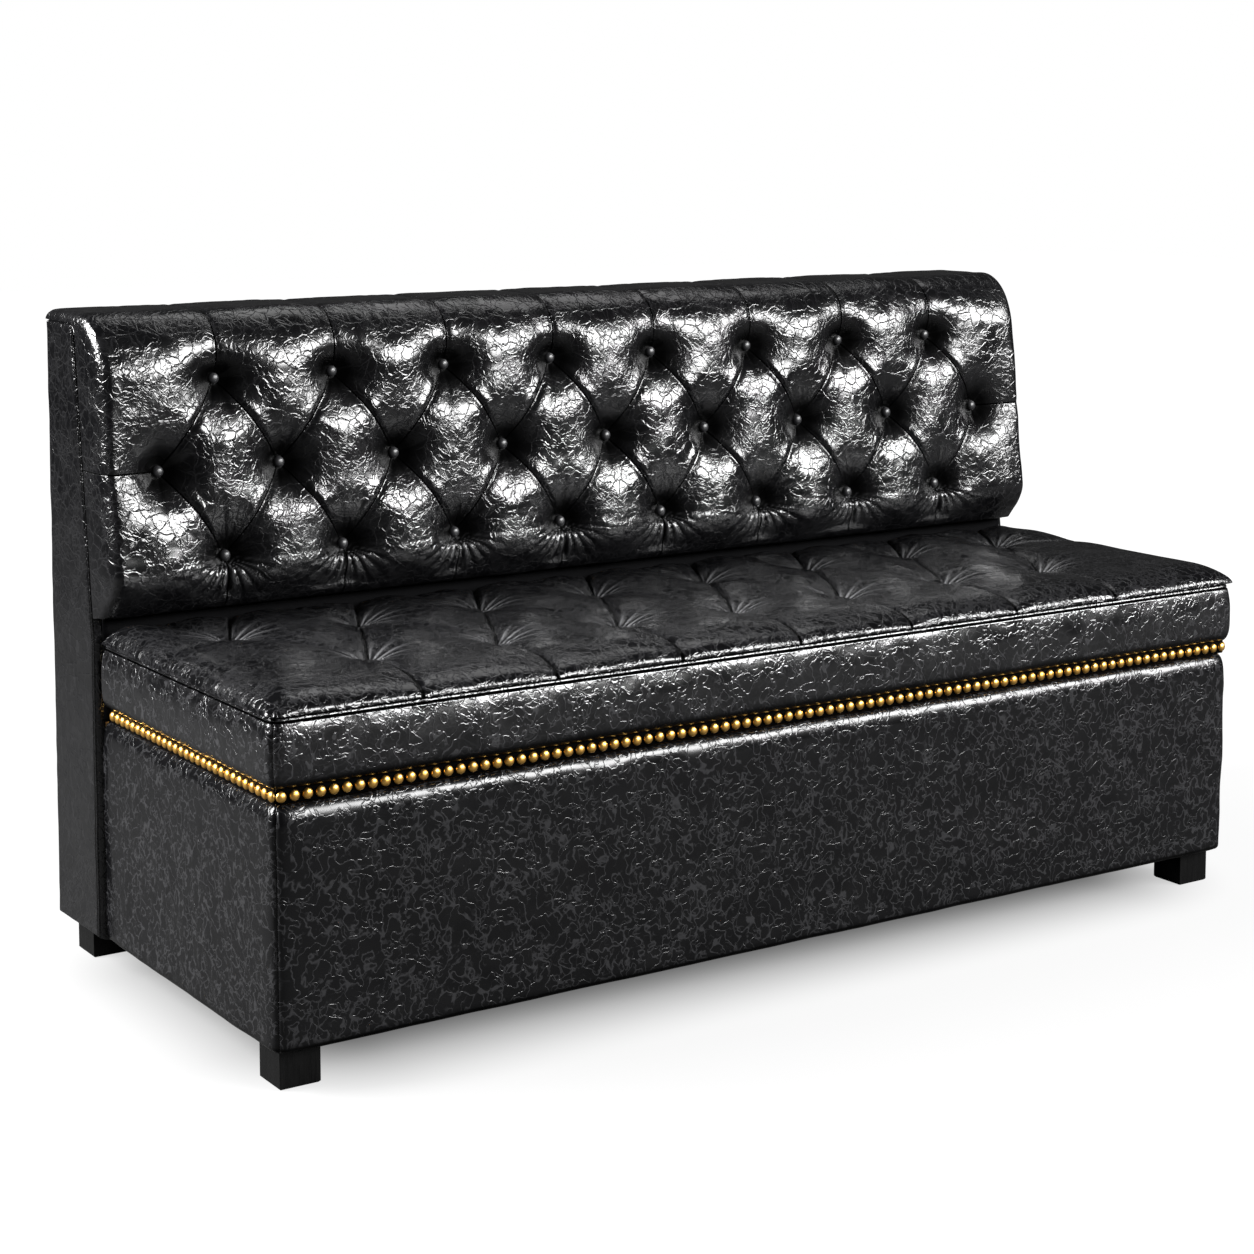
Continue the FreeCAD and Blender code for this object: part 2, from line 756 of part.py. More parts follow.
def arm_neck(x, first, last):
    """Curved neck concentric with the axis, so that it slides through its own place as the seat opens."""
    middle = (first + last) / 2
    ring = neck_radius()
    outer = [V(x, *swing(ring + arm_width / 2, a)) for a in (first, middle, last)]
    inner = [V(x, *swing(ring - arm_width / 2, a)) for a in (last, middle, first)]
    wire = Part.Wire([Part.Arc(*outer).toShape(), Part.makeLine(outer[2], inner[0]),
                      Part.Arc(*inner).toShape(), Part.makeLine(inner[2], outer[0])])
    return Part.Face(wire).extrude(V(arm_thick, 0, 0))


def strap_height():
    """Middle of the strap that runs along the seat rail."""
    return lid_foot + arm_lift + arm_width / 2


def neck_radius():
    return math.hypot(pivot_behind, pivot_height - strap_height())


def arm_bar(x, angle, length, width):
    """Straight bar from the axis outward at an angle."""
    end = V(x, *swing(length, angle))
    axis = V(x, pivot_y, pivot_height)
    across = V(0, end.z - axis.z, axis.y - end.y).normalize() * (width / 2)
    return prism([axis + across, end + across, end - across, axis - across], V(arm_thick, 0, 0))


def hinge_arm():
    """Left arm: strap along the seat rail, curved neck under the back pad, spoke up to the eye, stop tail."""
    x = -arm_outer
    half = arm_width / 2
    entry = math.degrees(math.asin(pivot_behind / neck_radius()))
    height = strap_height()
    strap = block(x, -arm_inner, seat_rear - arm_reach, seat_rear, height - half, height + half)
    neck = arm_neck(x, -arm_spoke, entry + neck_lap)
    spoke = arm_bar(x, -arm_spoke, neck_radius() + half, arm_width)
    tail = arm_bar(x, 180, arm_tail, tail_width)
    eye = rod(eye_diameter / 2, V(x, pivot_y, pivot_height), X_AXIS, arm_thick)
    arm = strap.fuse([neck, spoke, tail, eye]).removeSplitter()
    bore = rod(pin_diameter / 2 + pin_clearance, V(x, pivot_y, pivot_height), X_AXIS, arm_thick)
    holes = [rod(screw_diameter / 2, place, X_AXIS, arm_thick) for place in arm_screw_places(arm_outer)]
    return arm.cut([bore] + holes)


def arm_screw_places(x):
    """Screw centres along the strap."""
    z = strap_height()
    first = seat_rear - arm_reach + arm_width / 2
    step = (arm_reach - nail_band - rail_thick - arm_width * 1.5) / 2
    return [V(-x, first + step * i, z) for i in range(3)]


def hinge_plate():
    """Left steel plate on the post that steadies the hinge pin."""
    half = eye_diameter / 2
    stop_y, stop_z = stop_place()
    plate = block(-post_inner, -post_inner + plate_thick, pivot_y - half, stop_y + half,
                  pivot_height - eye_diameter, stop_z + half)
    plate = plate.cut(rod(pin_diameter / 2, V(-post_inner, pivot_y, pivot_height), X_AXIS, plate_thick))
    plate = plate.cut(rod(stop_diameter / 2, V(-post_inner, stop_y, stop_z), X_AXIS, plate_thick))
    return rounded(plate, plate_corner, lambda p: near_corner(plate, p))


def near_corner(plate, point):
    """True on the four short edges at the corners of a flat plate."""
    box = plate.BoundBox
    on_y = near(point.y, box.YMin) or near(point.y, box.YMax)
    on_z = near(point.z, box.ZMin) or near(point.z, box.ZMax)
    return on_y and on_z


def hinge_pins():
    """Headed hinge pins and plain stop pins, both sides."""
    start = -post_outer + pin_inset()
    end = -arm_inner + plate_play
    pin = rod(pin_diameter / 2, V(start, pivot_y, pivot_height), X_AXIS, end - start)
    pin = pin.fuse(rod(pin_head / 2, V(end, pivot_y, pivot_height), X_AXIS, pin_head_thick))
    stop_y, stop_z = stop_place()
    stop = rod(stop_diameter / 2, V(start, stop_y, stop_z), X_AXIS, end - start)
    return Part.makeCompound([pin, stop, mirrored(pin), mirrored(stop)])


def hinge_screws():
    """Round-headed screws that hold the arms to the seat rails."""
    screws = []
    for place in arm_screw_places(arm_inner):
        head = rod(screw_head / 2, place, X_AXIS, screw_head_thick)
        screw = head.fuse(rod(screw_diameter / 2, place, V(-1, 0, 0), screw_length))
        screws += [screw, mirrored(screw)]
    return Part.makeCompound(screws)


def seat_side_rail(left):
    """Left seat rail bored for the arm's screws."""
    places = arm_screw_places(arm_inner)
    return left.cut([rod(screw_diameter / 2, place, V(-1, 0, 0), screw_length) for place in places])


def main():
    os.makedirs("parts", exist_ok=True)

    front, rear, left = base_panels()
    save("base_front_panel", front)
    save("base_rear_panel", rear)
    save("base_left_panel", left)
    save("base_right_panel", mirrored(left))
    save("base_floor", block(-box_side, box_side, box_front, box_rear, panel_foot + cleat, floor_top))
    save("base_floor_cleats", floor_cleats())
    save("base_foot_blocks", foot_blocks())
    save("base_corner_battens", corner_battens())
    save("base_divider", divider())
    front, left = base_covers()
    save("base_cover_front", front)
    save("base_cover_left", left)
    save("base_cover_right", mirrored(left))
    save("dust_cover", dust_cover())
    save("seat_buffers", buffers())
    front, rear = foot_centres()
    save("foot_front_left", foot(front))
    save("foot_front_right", mirrored(foot(front)))
    save("foot_rear_left", foot(rear))
    save("foot_rear_right", mirrored(foot(rear)))
    save("foot_bolts", Part.makeCompound([pair(foot_bolt(front)), pair(foot_bolt(rear))]))

    save("back_post_left", post())
    save("back_post_right", mirrored(post()))
    top, seat, base, bottom = back_rails()
    save("back_top_rail", top)
    save("back_seat_rail", seat)
    save("back_base_rail", base)
    save("back_bottom_rail", bottom)
    save("back_studs", studs())
    save("back_bolts", joint_bolts())
    board = raked_layer(0, back_board_thick, back_pad_foot)
    save("back_board", tied(board, 0, back_board_thick))
    save("back_foam", tied(foam_layer(), back_board_thick, back_foam_thick))
    save("back_lining", back_lining())
    save("back_tufted_cover", tufted_back())
    save("back_side_cover_left", back_side())
    save("back_side_cover_right", mirrored(back_side()))
    board, cover = rear_boards()
    save("back_rear_board", board)
    save("back_rear_cover", cover)
    save("back_buttons", Part.makeCompound([lean_back(button(x, s)) for x, s in button_places()]))
    save("back_button_ties", Part.makeCompound([lean_back(tie(x, s)) for x, s in button_places()]))

    front, rear, left, cross = seat_rails()
    save("seat_front_rail", front)
    save("seat_rear_rail", rear)
    save("seat_left_rail", seat_side_rail(left))
    save("seat_right_rail", mirrored(seat_side_rail(left)))
    save("seat_cross_rails", cross)
    save("seat_deck", deck())
    save("seat_foam", seat_foam())
    save("seat_tufted_cover", tufted_seat())
    front, left, rear = seat_borders()
    save("seat_border_front", front)
    save("seat_border_left", left)
    save("seat_border_right", mirrored(left))
    save("seat_border_rear", rear)
    front, left = nail_bands()
    save("nail_band_front", front)
    save("nail_band_left", left)
    save("nail_band_right", mirrored(left))
    save("trim_nails", nails())
    save("seat_tuft_ties", Part.makeCompound([tuft_tie(x, y) for x, y in tuft_places()]))
    save("hinge_arm_left", hinge_arm())
    save("hinge_arm_right", mirrored(hinge_arm()))
    save("hinge_plate_left", hinge_plate())
    save("hinge_plate_right", mirrored(hinge_plate()))
    save("hinge_pins", hinge_pins())
    save("hinge_screws", hinge_screws())


main()
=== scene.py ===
import math

import bmesh
import bpy
import numpy as np
from bpy.props import FloatProperty, FloatVectorProperty, IntProperty, PointerProperty
from bpy.types import Operator, Panel, PropertyGroup
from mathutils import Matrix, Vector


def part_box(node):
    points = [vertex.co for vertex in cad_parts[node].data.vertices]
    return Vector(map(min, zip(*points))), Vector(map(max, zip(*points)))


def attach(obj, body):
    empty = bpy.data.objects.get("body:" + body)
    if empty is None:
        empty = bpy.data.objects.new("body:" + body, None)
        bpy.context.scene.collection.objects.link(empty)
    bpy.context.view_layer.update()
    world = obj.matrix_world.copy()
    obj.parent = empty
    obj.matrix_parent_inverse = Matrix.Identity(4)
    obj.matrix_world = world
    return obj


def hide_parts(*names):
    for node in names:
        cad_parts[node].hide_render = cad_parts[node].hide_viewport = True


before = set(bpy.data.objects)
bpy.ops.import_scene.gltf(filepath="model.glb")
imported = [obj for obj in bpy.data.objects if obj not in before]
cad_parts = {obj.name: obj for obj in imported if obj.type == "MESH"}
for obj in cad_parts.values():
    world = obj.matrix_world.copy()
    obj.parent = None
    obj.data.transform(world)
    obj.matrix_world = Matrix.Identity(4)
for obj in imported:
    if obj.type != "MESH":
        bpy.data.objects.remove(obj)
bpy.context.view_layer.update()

bl_info = {
    "name": "Tufted bench sofa",
    "version": (1, 0, 0),
    "blender": (4, 5, 0),
    "location": "View3D > Sidebar > Sofa",
    "description": "Dresses a packed bench sofa in buttoned leather, brass nails and studio light",
    "category": "Object",
}

# Everything is in metres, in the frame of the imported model: +Z up, the front faces -Y.
MM = 0.001
WELD = 0.01 * MM
TINY = 1e-9
CREASE_ANGLE = math.radians(50)

# What the points of a cover tell its leather: how far they lie to one side of the nearest fold or seam line,
# 1 near that line, where painted shade is drawn along it, 1 where the cover is stretched smooth and painted
# dark as shade, and 1 on the crests of gathers, where a highlight is painted
MARKS = ("line_offset", "line_near", "stretched", "gather_highlight")


def low(node):
    """Lower corner of a node's box."""
    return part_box(node)[0]


def high(node):
    """Upper corner of a node's box."""
    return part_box(node)[1]


# Places of the back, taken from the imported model
half_back = high("back_side_cover_right").x
side_inner = low("back_side_cover_right").x
post_inner = low("back_post_right").x
post_outer = high("back_post_right").x
arm_inner = low("hinge_arm_right").x
slab_front = low("back_side_cover_left").y
slab_rear = high("back_rear_cover").y
rear_inner = low("back_rear_cover").y
lining_front = low("back_lining").y
frame_top = high("back_post_left").z
pad_foot = low("back_tufted_cover").z
foam_foot = low("back_foam").z

# Places of the seat
seam = high("seat_border_front").z
seat_top = high("seat_tufted_cover").z
half_seat = high("seat_border_front").x
seat_front = low("seat_border_front").y
seat_rear = high("seat_border_rear").y
seat_frame_rear = low("seat_border_rear").y
half_rear_strip = high("seat_border_rear").x
border_foot = low("seat_border_front").z
half_strip = high("nail_band_front").x
strip_front = low("nail_band_front").y
strip_foot = low("nail_band_front").z
rail_side = high("seat_right_rail").x

# Places of the base
base_top = high("base_cover_front").z
half_base = high("base_cover_front").x
base_front = low("base_cover_front").y
panel_side = high("base_right_panel").x
cover_foot = low("base_cover_front").z

# The raked front of the back: its slope above the seat seam, and what lies on it under the cover
rake = (high("back_board").y - slab_front) / (frame_top - seam)
lean = math.atan(rake)
board_ahead = 9 * MM
foam_ahead = 35 * MM
foam_round = 20 * MM
cover_thick = 1.5 * MM
panel_top = frame_top - 3 * MM


def linear(hex_colour):
    """Linear RGBA of an sRGB hex colour."""
    channels = [int(hex_colour[i:i + 2], 16) / 255 for i in (1, 3, 5)]
    return [c / 12.92 if c <= 0.04045 else ((c + 0.055) / 1.055) ** 2.4 for c in channels] + [1.0]


def length(name, text, default):
    """A length property in metres."""
    return FloatProperty(name=name, description=text, default=default, min=0.0, unit="LENGTH", precision=4)


def counted(name, text, default):
    """A count property."""
    return IntProperty(name=name, description=text, default=default, min=2)


def colour(name, text, hex_colour):
    """A colour property with an sRGB hex default."""
    return FloatVectorProperty(name=name, description=text, default=linear(hex_colour), size=4,
                               min=0.0, max=1.0, subtype="COLOR")


class BackSizes(PropertyGroup):
    """Sizes of the deep-buttoned back."""
    columns: counted("Columns", "Buttons in the top and bottom rows", 8)
    margin: length("Margin", "End buttons of the middle row in from the ends", 80 * MM)
    row_low: length("Lowest row", "Lowest button row up the raked front from the seat seam", 92 * MM)
    row_step: length("Row step", "From one button row to the next", 110 * MM)
    fullness: length("Fullness", "Pillows ahead of the front plane of the back", 67 * MM)
    dimple: length("Dimple depth", "How far a button draws the cover in", 30.5 * MM)
    dimple_reach: length("Dimple reach", "Distance over which a dimple opens out", 33 * MM)
    valley: length("Valley depth", "Soft hollow between two buttons", 2.2 * MM)
    valley_reach: length("Valley reach", "Half width of that hollow", 30 * MM)
    pleat: length("Pleat depth", "Fold line in the hollow", 3.4 * MM)
    pleat_reach: length("Pleat reach", "Width over which the cover sinks to the fold", 6.0 * MM)
    pleat_lip: length("Pleat lip", "Width of the steep upper side of the fold", 2.8 * MM)
    flat_ends: length("Flat ends", "How far in from the ends the folds reach their full depth", 140 * MM)
    gathers: counted("Gathers", "Fewest gathers round a button", 9)
    pucker: length("Pucker", "Height of the gathers", 1.3 * MM)
    pucker_reach: length("Pucker reach", "Distance from the button at which they are highest", 22 * MM)
    fan_folds: counted("Fan folds", "Fewest folds round a lowest button, counted all round", 21)
    fan: length("Fan", "Height of the folds that fan out below those buttons", 3.2 * MM)
    fan_reach: length("Fan reach", "Distance from the button at which they are highest", 32 * MM)
    # Reach of the painted highlight on the crests of the fan folds below the lowest buttons
    fan_highlight_reach: length("Fan wear", "How far their crests are rubbed light", 30 * MM)
    flank: length("Flank", "Rounding of the front into its ends", 22 * MM)
    roll: length("Roll", "Height of the rolled top edge", 86 * MM)
    foot_round: length("Foot rounding", "Height over which the foot rounds in", 53 * MM)
    foot_tuck: length("Foot tuck", "How far the foot rounds in", 41 * MM)
    top_rise: length("Top rise", "Padding above the frame", 10 * MM)
    button: length("Button diameter", "Covered button", 15 * MM)
    button_rise: length("Button height", "Dome above its seat", 8.5 * MM)


class SeatSizes(PropertyGroup):
    """Sizes of the seat, its trim and the base cover below it."""
    columns: counted("Columns", "Tufts in the rear row", 8)
    margin: length("Margin", "End tufts of the rear row in from the ends", 120 * MM)
    row_rear: length("Rear row", "Rear tufts behind the base front", 355 * MM)
    row_front: length("Front row", "Front tufts behind the base front", 165 * MM)
    tuft: length("Tuft depth", "How far a tuft draws the cover in", 21 * MM)
    tuft_reach: length("Tuft reach", "Distance over which a tuft opens out", 27 * MM)
    valley: length("Valley depth", "Soft hollow between two tufts", 5 * MM)
    valley_reach: length("Valley reach", "Half width of that hollow", 28 * MM)
    pleat: length("Pleat depth", "Fold line in the hollow", 3.8 * MM)
    pleat_reach: length("Pleat reach", "Width over which the cover sinks to the fold", 4.5 * MM)
    pleat_lip: length("Pleat lip", "Width of the steep side of the fold", 2.8 * MM)
    gathers: counted("Gathers", "Fewest gathers round a tuft", 13)
    pucker: length("Pucker", "Height of the gathers", 2.0 * MM)
    pucker_reach: length("Pucker reach", "Distance from the tuft at which they are highest", 27 * MM)
    # Reach of the painted highlight on the crests of the gathers round the tufts
    highlight_reach: length("Wear", "How far the crests of the gathers are rubbed light", 32 * MM)
    edge: length("Edge rounding", "Rounding of the top into the border seam", 44 * MM)
    rear_edge: length("Rear rounding", "Rounding of the top at its rear edge", 20 * MM)
    corner: length("Corner radius", "Front corners in plan", 14 * MM)
    seam_gap: length("Twin seam gap", "Between the two seam lines of the border", 6 * MM)
    seam_depth: length("Seam depth", "Depth of a sewn seam line", 2.2 * MM)
    nail: length("Nail diameter", "Dome nail head", 12.5 * MM)
    nail_rise: length("Nail rise", "Height of the dome", 4.2 * MM)
    nail_pitch: length("Nail pitch", "Nail to nail", 15.8 * MM)
    base_round: length("Base rounding", "Rounded top edge of the base cover", 26 * MM)
    base_foot: length("Base foot", "Rounding at the foot of the base cover", 7 * MM)


class FinishColours(PropertyGroup):
    """Colours of the finishes that show."""
    leather: colour("Leather", "Face of the faux leather", "#060607")
    # Colour of the painted highlight on the crests of the crackle ridges
    leather_crest_highlight: colour("Leather veins", "Rubbed crests of the crackle", "#48484A")
    # Colour of the painted highlight on the crests of the gathers round a button or a tuft
    leather_gather_highlight: colour("Worn leather", "Crests of the gathers round a button or a tuft", "#8C8C8E")
    button: colour("Buttons", "Smooth button cover", "#2C2C2E")
    brass: colour("Brass", "Dome nails", "#F0BC62")
    brass_dark: colour("Aged brass", "Blotches of tarnish on the nails", "#9A6220")
    floor: colour("Floor", "Studio paper", "#363636")


class StageSizes(PropertyGroup):
    """Lens and place of the camera."""
    lens: FloatProperty(name="Lens", description="Focal length on a 36 mm frame", default=74.13)
    shift: FloatProperty(name="Shift", description="Vertical lens shift", default=-0.2)
    yaw: FloatProperty(name="Yaw", description="Camera turned right of straight back",
                       default=0.5829, subtype="ANGLE")
    pitch: FloatProperty(name="Pitch", description="Camera tipped down", default=0.1022, subtype="ANGLE")
    camera: FloatVectorProperty(name="Camera", description="Place of the camera", size=3,
                                default=(-1.894, -2.769, 1.065), subtype="TRANSLATION")


# Mesh helpers

def quarter(count):
    """Angles from 0 to a right angle, for quarter rounds."""
    return np.linspace(0.0, math.pi / 2, count)


def eased(first, last, rounding, round_count, count):
    """Stations from first to last, close together in the rounded stretch at each end."""
    near = rounding * (1 - np.cos(quarter(round_count)))
    middle = np.linspace(first + rounding, last - rounding, count)
    return np.concatenate([first + near[:-1], middle, (last - near[:-1])[::-1]])


def rise(distance, rounding, power=2.0):
    """Rounded rise from 0 at an edge to 1 where the rounding ends.

    A quarter ellipse, squarer at higher powers.
    """
    return (1 - (1 - np.clip(distance / rounding, 0, 1)) ** power) ** (1 / power)


def groove(distance, reach):
    """Bell-shaped line: 1 on the line, fading over the reach."""
    return np.exp(-(distance / reach) ** 2)


def near_line(away, reach):
    """1 within a reach of a line, fading to 0 at twice the reach."""
    return np.clip(2 - away / reach, 0, 1)


def soft_noise(a, b, cell, seed):
    """Smooth unevenness from -1 to 1: seeded values on a square lattice, eased between its points."""
    a, b = np.broadcast_arrays(a, b)
    size = 96
    lattice = np.random.default_rng(seed).uniform(-1, 1, (size, size))
    u, v = a / cell, b / cell
    i, j = np.floor(u).astype(int), np.floor(v).astype(int)
    s, t = u - i, v - j
    s, t = s * s * (3 - 2 * s), t * t * (3 - 2 * t)
    near = lattice[i % size, j % size] * (1 - s) + lattice[(i + 1) % size, j % size] * s
    far = lattice[i % size, (j + 1) % size] * (1 - s) + lattice[(i + 1) % size, (j + 1) % size] * s
    return near * (1 - t) + far * t


def lumps(a, b, coarse, fine, seed):
    """Uneven filling: soft noise of two sizes, each given as its height and its cell."""
    return coarse[0] * soft_noise(a, b, coarse[1], seed) + fine[0] * soft_noise(a, b, fine[1], seed + 1)


def grid_faces(rows, columns, start=0, ring=False):
    """Quads between neighbours of a grid of points; ring joins the last column to the first."""
    index = np.arange(rows * columns).reshape(rows, columns) + start
    if ring:
        index = np.hstack([index, index[:, :1]])
    return np.stack([index[:-1, :-1], index[1:, :-1], index[1:, 1:], index[:-1, 1:]], -1).reshape(-1, 4)


def closed_sheet(points):
    """Grid of quads closed by one flat face round its border."""
    rows, columns = points.shape[:2]
    faces = grid_faces(rows, columns).tolist()
    index = np.arange(rows * columns).reshape(rows, columns)
    border = np.concatenate([index[0, :-1], index[:-1, -1], index[-1, :0:-1], index[:0:-1, 0]])
    faces.append(border.tolist())
    return faces


def copies(places, rows, columns):
    """Quads of one ringed grid for each of many places."""
    return np.concatenate([grid_faces(rows, columns, start=i * rows * columns, ring=True)
                           for i in range(len(places))])


def dress(name, points, faces, material, body, nodes, marks=()):
    """Mesh object from points and faces, welded and turned outward, that rides a body and stands for nodes.

    marks are stored on the points for the leather, which by them paints shade along lines, shade in smooth
    zones and highlights on crests, sharper than the mesh.
    """
    mesh = bpy.data.meshes.new(name)
    mesh.from_pydata(points.reshape(-1, 3).tolist(), [], [list(face) for face in faces])
    for key, values in zip(MARKS, marks):
        mesh.attributes.new(key, "FLOAT", "POINT").data.foreach_set("value", values.ravel())
    work = bmesh.new()
    work.from_mesh(mesh)
    bmesh.ops.remove_doubles(work, verts=work.verts, dist=WELD)
    bmesh.ops.recalc_face_normals(work, faces=work.faces)
    work.to_mesh(mesh)
    work.free()
    mesh.shade_smooth()
    mesh.set_sharp_from_angle(angle=CREASE_ANGLE)
    mesh.materials.append(material)
    piece = bpy.data.objects.new(name, mesh)
    bpy.context.scene.collection.objects.link(piece)
    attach(piece, body)
    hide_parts(*nodes)
    return piece


# Material helpers

def add(tree, kind, inputs=(), out=0, **settings):
    """New node of a kind with its settings; returns one of its outputs.

    inputs are values for its sockets, or sockets to link to them: in order, or keyed by name or number.
    """
    item = tree.nodes.new(kind)
    for key, value in settings.items():
        setattr(item, key, value)
    for key, value in (inputs if isinstance(inputs, dict) else dict(enumerate(inputs))).items():
        if isinstance(value, bpy.types.NodeSocket):
            tree.links.new(value, item.inputs[key])
        else:
            item.inputs[key].default_value = value
    return item.outputs[out]


def start_material(name):
    """Empty node material with its shader and the surface's own coordinates in metres."""
    material = bpy.data.materials.new(name)
    material.use_nodes = True
    tree = material.node_tree
    shader = tree.nodes["Principled BSDF"]
    place = add(tree, "ShaderNodeTexCoord", out="Object")
    return material, tree, shader, place


def connect(tree, shader, **links):
    """Links outputs to the shader's inputs by name, with _ for a space."""
    for key, output in links.items():
        tree.links.new(output, shader.inputs[key.replace("_", " ")])


def per_metre(size_mm):
    """Texture scale that gives features of a size in millimetres."""
    return 1.0 / (size_mm * MM)


def crackle_leather(name, colours, gloss, ior, crest_highlight_strength, crazed, depth_mm):
    """Polyurethane leather, crumpled and rolled so that its coat is crinkled by small irregular wrinkles.

    The eye sees near-black faces, ridges that wander like worms, in places cells 10 to 20 mm across that
    break the highlights into patches, crests lightened by a painted highlight, and thin black lines of
    painted shade where the cover is folded or sewn. Where the cover is marked as stretched, round a button
    and at the foot of a band, it is smooth and painted dark as shade, and the crests of some gathers carry a
    painted highlight. crest_highlight_strength is how light the painted highlight on the crests is, crazed
    the share of cells beside the ridges, depth_mm the height of both.
    """
    material, tree, shader, place = start_material(name)
    offset, near, stretched, gather_highlight = (add(tree, "ShaderNodeAttribute", out="Fac", attribute_name=mark)
                                     for mark in MARKS)
    drift = add(tree, "ShaderNodeTexNoise", {"Vector": place, "Scale": per_metre(26), "Detail": 3.0},
                out="Color")
    centred = add(tree, "ShaderNodeVectorMath", (drift, (0.5, 0.5, 0.5)), operation="SUBTRACT")
    shift = add(tree, "ShaderNodeVectorMath", {0: centred, 3: 20 * MM}, operation="SCALE")
    warped = add(tree, "ShaderNodeVectorMath", (place, shift), operation="ADD")
    patch = add(tree, "ShaderNodeTexNoise", {"Vector": place, "Scale": per_metre(52), "Detail": 2.0})

    # Winding ridges of two sizes: the middle contours of two noises, the smaller ones broken into short runs
    ridges = []
    for size_mm, half_width in ((18, 0.036), (10, 0.055)):
        noise = add(tree, "ShaderNodeTexNoise",
                    {"Vector": warped, "Scale": per_metre(size_mm), "Detail": 1.0})
        beside = add(tree, "ShaderNodeMath", (noise, 0.5), operation="SUBTRACT")
        beside = add(tree, "ShaderNodeMath", (beside,), operation="ABSOLUTE")
        ridges.append(add(tree, "ShaderNodeMapRange", (beside, 0.0, half_width, 1.0, 0.0),
                          interpolation_type="SMOOTHSTEP"))
    runs = add(tree, "ShaderNodeTexNoise", {"Vector": warped, "Scale": per_metre(19), "Detail": 1.0},
               out="Color")
    runs = add(tree, "ShaderNodeMapRange", (runs, 0.44, 0.54, 0.0, 0.85))
    broken = add(tree, "ShaderNodeMath", (ridges[1], runs), operation="MULTIPLY")
    worms = add(tree, "ShaderNodeMath", (ridges[0], broken), operation="MAXIMUM")
    worms = add(tree, "ShaderNodeMath", (worms, 1.0 - 0.5 * crazed), operation="MULTIPLY")

    # Cells, finer ones in patches; a stretched cover shows neither ridges nor cells
    cells, small = (add(tree, "ShaderNodeTexVoronoi", {"Vector": warped, "Scale": per_metre(size_mm)},
                        feature="DISTANCE_TO_EDGE") for size_mm in (19, 9))
    partly = add(tree, "ShaderNodeMapRange", (patch, 0.47, 0.57, 0.0, 0.8 * crazed))
    crest = add(tree, "ShaderNodeMapRange", (cells, 0.0, 0.055, crazed, 0.0))
    fine = add(tree, "ShaderNodeMapRange", (small, 0.0, 0.10, 1.0, 0.0))
    fine = add(tree, "ShaderNodeMath", (fine, partly), operation="MULTIPLY")
    net = add(tree, "ShaderNodeMath", (crest, fine), operation="MAXIMUM")
    net = add(tree, "ShaderNodeMath", (net, worms), operation="MAXIMUM")
    slack = add(tree, "ShaderNodeMath", (1.0, stretched), operation="SUBTRACT")
    net = add(tree, "ShaderNodeMath", (net, slack), operation="MULTIPLY")

    # Folded and sewn lines: a groove in the bump, and painted shade along them
    beside = add(tree, "ShaderNodeMath", (offset,), operation="ABSOLUTE")
    line = add(tree, "ShaderNodeMapRange", (beside, 0.5 * MM, 1.2 * MM, 1.0, 0.0))
    line = add(tree, "ShaderNodeMath", (line, near), operation="MULTIPLY")

    grain = add(tree, "ShaderNodeTexNoise", {"Vector": place, "Scale": per_metre(2.4), "Detail": 2.0})
    relief = add(tree, "ShaderNodeMath", (grain, 0.12, net), operation="MULTIPLY_ADD")
    relief = add(tree, "ShaderNodeMath", (line, -1.5, relief), operation="MULTIPLY_ADD")
    bump = add(tree, "ShaderNodeBump", {"Height": relief, "Strength": 0.8, "Distance": depth_mm * MM})
    polish = add(tree, "ShaderNodeMapRange", (patch, 0.3, 0.7, gloss - 0.04, gloss + 0.06))
    polish = add(tree, "ShaderNodeMath", (stretched, 0.06, polish), operation="MULTIPLY_ADD")

    # Painted highlights lighten the face on the ridges and on the crests of gathers. Fold and seam lines, the
    # pits of buttons and the tucked feet of the bands are painted shade: black metal, so that they mirror
    # nothing.
    crest_highlight = add(tree, "ShaderNodeMath", (net, crest_highlight_strength), operation="MULTIPLY")
    smooth_zone_painted_shade = add(tree, "ShaderNodeMath", (stretched, 0.75), operation="MULTIPLY")
    dark = add(tree, "ShaderNodeMath", (line, smooth_zone_painted_shade), operation="MAXIMUM")
    face = colours.leather
    for share, tint in ((crest_highlight, colours.leather_crest_highlight), (gather_highlight, colours.leather_gather_highlight), (dark, (0, 0, 0, 1))):
        face = add(tree, "ShaderNodeMix", {0: share, 6: face, 7: tint}, out=2, data_type="RGBA")
    connect(tree, shader, Base_Color=face, Metallic=dark, Roughness=polish, Normal=bump)
    shader.inputs["IOR"].default_value = ior
    return material


def button_leather(colours):
    """Smooth leather stretched over a metal button: satin, with a faint pull in its grain."""
    material, tree, shader, place = start_material("satin_button_leather")
    grain = add(tree, "ShaderNodeTexNoise", {"Vector": place, "Scale": per_metre(1.2), "Detail": 2.0})
    bump = add(tree, "ShaderNodeBump", {"Height": grain, "Strength": 0.25, "Distance": 0.3 * MM})
    rough = add(tree, "ShaderNodeMapRange", (grain, 0.3, 0.7, 0.30, 0.42))
    face = add(tree, "ShaderNodeMix", {0: grain, 6: colours.button, 7: colours.leather}, out=2,
               data_type="RGBA")
    connect(tree, shader, Base_Color=face, Roughness=rough, Normal=bump)
    return material


def nail_brass(colours):
    """Stamped brass under an aged lacquer: warm gold, with brown tarnish in blotches."""
    material, tree, shader, place = start_material("antique_brass")
    blotch = add(tree, "ShaderNodeTexNoise", {"Vector": place, "Scale": per_metre(5), "Detail": 3.0})
    dull = add(tree, "ShaderNodeMapRange", (blotch, 0.45, 0.75, 0.0, 0.55))
    face = add(tree, "ShaderNodeMix", {0: dull, 6: colours.brass, 7: colours.brass_dark}, out=2,
               data_type="RGBA")
    rough = add(tree, "ShaderNodeMapRange", (blotch, 0.3, 0.7, 0.30, 0.45))
    connect(tree, shader, Base_Color=face, Roughness=rough)
    shader.inputs["Metallic"].default_value = 1.0
    return material


